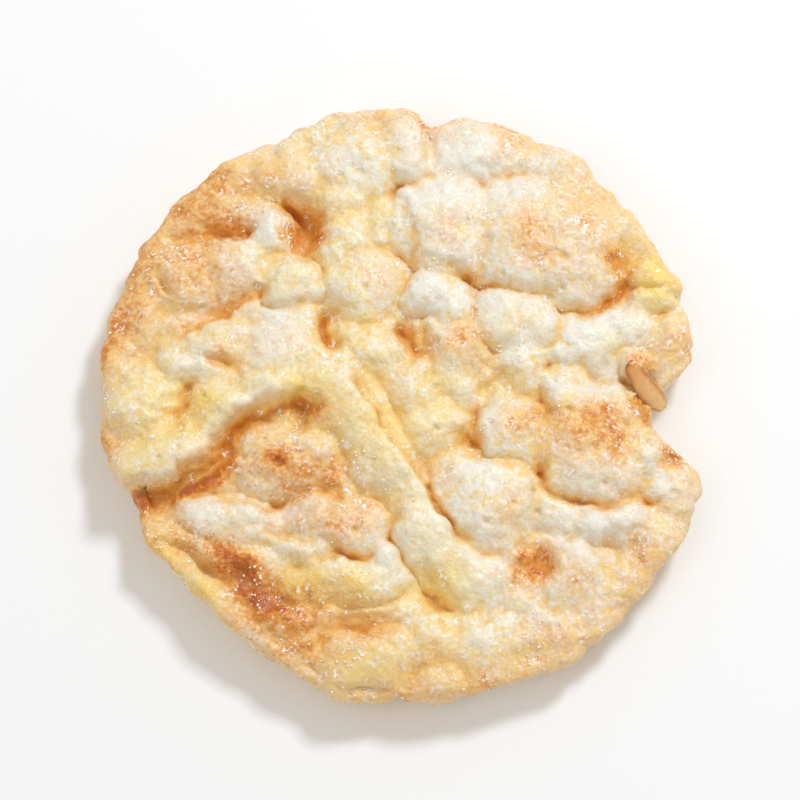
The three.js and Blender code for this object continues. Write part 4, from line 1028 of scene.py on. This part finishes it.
# frost: sugar dust and painted glints, in clusters, and less of it on dark toast
cluster = maths("MULTIPLY_ADD", blotch, 0.5, maths("MULTIPLY_ADD", speck, 0.6, -0.1))
cluster = maths("MULTIPLY", cluster, 3.0, clamp=True)
frost_and_glints = maths("MULTIPLY", maths("SUBTRACT", crumb, 0.1), 4.0, clamp=True)
frost_and_glints = maths("MULTIPLY", frost_and_glints, maths("MULTIPLY_ADD", dark_toast, -0.35, cluster, clamp=True))
shade = over(frost_and_glints, shade, linear(SUGAR_FROST_AND_GLINT))

# the dry crust and its coat
roughness = maths("MULTIPLY_ADD", speck, 0.2, 0.5, clamp=True)
bumps = add_node(tree, "ShaderNodeBump", Height=crumb, Strength=0.5, Distance=0.05 * MM)
facets = add_node(
    tree, "ShaderNodeTexVoronoi", {"feature": "SMOOTH_F1"},
    Vector=coords, Scale=1 / (CRUMB * MM), Smoothness=0.5,
).outputs["Distance"]
glints = add_node(tree, "ShaderNodeBump", Height=facets, Strength=0.8, Distance=0.16 * MM)
surface = add_node(
    tree, "ShaderNodeBsdfPrincipled",
    Base_Color=shade, Roughness=roughness, IOR=1.45, Normal=bumps.outputs[0],
    Subsurface_Weight=0.5, Subsurface_Scale=0.6 * MM, Subsurface_Radius=(1.0, 0.8, 0.52),
    Coat_Weight=0.35, Coat_Roughness=0.2, Coat_Normal=glints.outputs[0],
)
tree.links.new(surface.outputs[0], output.inputs["Surface"])

# %% The cake itself
cake = new_piece("popped_rice_cake", points, faces, rice)
add_marks(cake, marks)
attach(cake, "root")
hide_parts("rice_cake")
print("cake:", len(cake.data.vertices), "points,", len(cake.data.polygons), "triangles")

# %% [markdown]
# ## A curl of bran
# One flake of the grain's husk came through the popping whole. It hangs at the right edge: a
# small bent shell, tan on its back, with painted shade in the groove along its back, along its
# outer edge and at its near tip, where the edge curls under, and paler towards its far end,
# partly as a painted highlight. It is a ring of points carried along a bent line, a little sunk
# in the cake, and closed by a tip at each end.

# %% The bran curl's shape
CURL_PATH = (19.2, 3.0), (19.8, 1.0), (22.1, -0.6)   # start, bend and end of its middle line, mm
CURL_WIDTH, CURL_HEIGHT, CURL_SINK = 2.1, 0.7, 0.5   # mm
CURL_RINGS, CURL_SIDES = 28, 20
SEAT_REACH = 0.9                                     # mm around the line, where the cake is felt for

t = np.linspace(0, 1, CURL_RINGS + 1)[1:-1, None]
start, bend, end = (np.array(place) for place in CURL_PATH)
spine = (1 - t) ** 2 * start + 2 * t * (1 - t) * bend + t * t * end
ahead = 2 * (1 - t) * (bend - start) + 2 * t * (end - bend)
ahead /= np.linalg.norm(ahead, axis=1, keepdims=True)
seat = [points[np.hypot(points[:, 0] - a, points[:, 1] - b) < SEAT_REACH, 2].max() for a, b in spine]
seat = np.polyval(np.polyfit(t[:, 0], seat, 2), t[:, 0])
around = np.arange(CURL_SIDES) / CURL_SIDES * 2 * np.pi

# blunt at both ends, wider towards the far one, and ragged along its sides
swell = (1 - (2 * t - 1) ** 4) ** 0.5
swell = swell * (0.72 + 0.28 * t + 0.05 * np.sin(11 * t) + 0.07 * np.sin(14 * t + 3 * around))
# a narrow groove runs along its back, where the husk has folded over
groove = np.exp(-((np.cos(around) + 0.72) / 0.12) ** 2) * (np.sin(around) > 0)
side = CURL_WIDTH / 2 * swell * np.cos(around)
lift = CURL_HEIGHT * swell * (0.35 + (0.65 - 0.55 * groove) * np.sin(around)) - CURL_SINK
curl = np.stack([
    spine[:, :1] + side * ahead[:, 1:],
    spine[:, 1:] - side * ahead[:, :1],
    seat[:, None] + lift,
], 2).reshape(-1, 3)
tips = np.array([[*start, seat[0]], [*end, seat[-1] - 0.2]])
curl = np.concatenate([curl, tips])
ring = np.arange(CURL_SIDES)
curl_faces = []
for k in range(CURL_RINGS - 2):
    a, b = k * CURL_SIDES + ring, k * CURL_SIDES + np.roll(ring, -1)
    curl_faces.append(quads(a, a + CURL_SIDES, b + CURL_SIDES, b))
last = (CURL_RINGS - 2) * CURL_SIDES
near_tip, far_tip = (np.full(CURL_SIDES, len(curl) - k) for k in (2, 1))
curl_faces.append(np.stack([near_tip, ring, np.roll(ring, -1)], 1))
curl_faces.append(np.stack([far_tip, last + np.roll(ring, -1), last + ring], 1))
curl_faces = np.concatenate(curl_faces)
curl = np.clip(curl, cad_box[0], cad_box[1])
print("curl:", len(curl_faces), "triangles, seat", seat.min().round(2), "to", seat.max().round(2), "mm")

# %% The bran curl's colour
# painted shade in the groove, along its outer edge and at its near tip, and paler towards the
# far one, partly as a painted highlight
far_edge_shade = 0.5 * np.exp(-((np.cos(around) - 0.95) / 0.15) ** 2)
rind = groove + far_edge_shade + 1.2 * np.exp(-(t / 0.09) ** 2)
rind = np.concatenate([np.broadcast_to(rind, side.shape).ravel(), [1.0, 0.0]])
pale = np.concatenate([np.broadcast_to(t, side.shape).ravel(), [0.0, 1.0]])

# the husk's tan, its paler far end, partly a painted highlight, and its painted shade
HUSK_TAN, HUSK_PALE_LIT, HUSK_SHADE_DARK = "#DB9548", "#EBC58C", "#A8490F"
bran, tree, output = new_material("bran_husk")
coords = add_node(tree, "ShaderNodeTexCoord").outputs["Object"]
fading = maths("MULTIPLY_ADD", grain(0.8, 2.0), 0.3, mark("pale"), clamp=True)
back = over(fading, linear(HUSK_TAN), linear(HUSK_PALE_LIT))
curled_under_shade = maths("MULTIPLY_ADD", grain(0.5, 2.0), 0.35, mark("rind"), clamp=True)
husk = add_node(
    tree, "ShaderNodeBsdfPrincipled",
    Base_Color=over(curled_under_shade, back, linear(HUSK_SHADE_DARK)), Roughness=0.45, IOR=1.45,
    Subsurface_Weight=0.3, Subsurface_Scale=0.4 * MM, Subsurface_Radius=(1.0, 0.7, 0.4),
)
tree.links.new(husk.outputs[0], output.inputs["Surface"])
flake = new_piece("bran_curl", curl, curl_faces, bran)
add_marks(flake, {"rind": rind, "pale": pale})
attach(flake, "root")
print("the curl's dark rind from", rind.min().round(2), "to", rind.max().round(2))

# %% [markdown]
# ## Sugar
# Fine sugar sticks to the crust wherever it was damp, in drifts rather than evenly. Each crystal
# is a little block with flat faces, because a flat face turned the right way flashes white and
# a round grain never does. They lie a quarter sunk in the crust and face every way.

# %% Scatter the crystals
CRYSTALS = 600
CRYSTAL_SIZE = (0.08, 0.21)   # mm, the longest edge that the smallest and largest can have
SHORT_EDGE = 0.6              # the shortest edge that a crystal can have, as a share of that
CRYSTAL_LIFT = 0.25           # of its middle over the crust, as a share of its mean edge

draw = np.random.default_rng(12)
corner_a, corner_b, corner_c = (points[faces[:, k]] for k in range(3))
face_cross = np.cross(corner_b - corner_a, corner_c - corner_a)
face_area = np.linalg.norm(face_cross, axis=1) / 2
face_up = face_cross / np.maximum(2 * face_area[:, None], 1e-12)
face_middle = (corner_a + corner_b + corner_c) / 3
# drifts of 4 and 1.4 mm, on faces that look up
drift = 0.1 + 1.2 * lumps(face_middle, 111, 4.0) + 1.0 * lumps(face_middle, 112, 1.4)
drift = np.clip(drift, 0.02, 1.5) ** 2
chance = face_area * drift * np.clip(face_up[:, 2] - 0.1, 0, 1)
chosen = draw.choice(len(faces), CRYSTALS, p=chance / chance.sum())
blend_a, blend_b = draw.random((2, CRYSTALS, 1))
fold = blend_a + blend_b > 1
blend_a, blend_b = np.where(fold, 1 - blend_a, blend_a), np.where(fold, 1 - blend_b, blend_b)
seats = (
    corner_a[chosen]
    + blend_a * (corner_b - corner_a)[chosen]
    + blend_b * (corner_c - corner_a)[chosen]
)


def turns(count, draw):
    """Random rotations, as matrices: three random axes made square to each other."""
    raw = draw.normal(size=(count, 3, 3))
    first = raw[:, 0] / np.linalg.norm(raw[:, 0], axis=1, keepdims=True)
    third = np.cross(first, raw[:, 1])
    third /= np.linalg.norm(third, axis=1, keepdims=True)
    return np.stack([first, np.cross(third, first), third], 1)


block = np.array([(x, y, z) for x in (-1, 1) for y in (-1, 1) for z in (-1, 1)]) / 2
block_faces = np.array([
    (0, 1, 3), (0, 3, 2), (4, 6, 7), (4, 7, 5), (0, 4, 5), (0, 5, 1),
    (2, 3, 7), (2, 7, 6), (0, 2, 6), (0, 6, 4), (1, 5, 7), (1, 7, 3),
])
edges = draw.uniform(*CRYSTAL_SIZE, (CRYSTALS, 1)) * draw.uniform(SHORT_EDGE, 1, (CRYSTALS, 3))
grains = np.einsum("nkj,nji->nki", block[None] * edges[:, None], turns(CRYSTALS, draw))
grains += (seats + CRYSTAL_LIFT * edges.mean(1, keepdims=True) * face_up[chosen])[:, None]
grains = np.clip(grains.reshape(-1, 3), cad_box[0], cad_box[1])
grain_faces = (block_faces[None] + 8 * np.arange(CRYSTALS)[:, None, None]).reshape(-1, 3)
print(CRYSTALS, "crystals,", len(grain_faces), "triangles")

# %% Crystal sugar
sugar, tree, output = new_material("crystal_sugar")
crystal = add_node(
    tree, "ShaderNodeBsdfPrincipled",
    Base_Color=linear("#FFF6E4"), Roughness=0.25, IOR=1.54,
)
tree.links.new(crystal.outputs[0], output.inputs["Surface"])
sparkle = new_piece("sugar_crystals", grains, grain_faces, sugar)
sparkle.data.polygons.foreach_set("use_smooth", np.zeros(len(grain_faces), bool))
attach(sparkle, "root")
print("crystals from", np.round(edges.min(), 2), "to", np.round(edges.max(), 2), "mm")

# %% [markdown]
# ## Measure and finish
# The dressed cake must stay inside the frame's box, so the box of all that is shown is measured, in metres.

# %% Measure the sizes and finish
low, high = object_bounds()
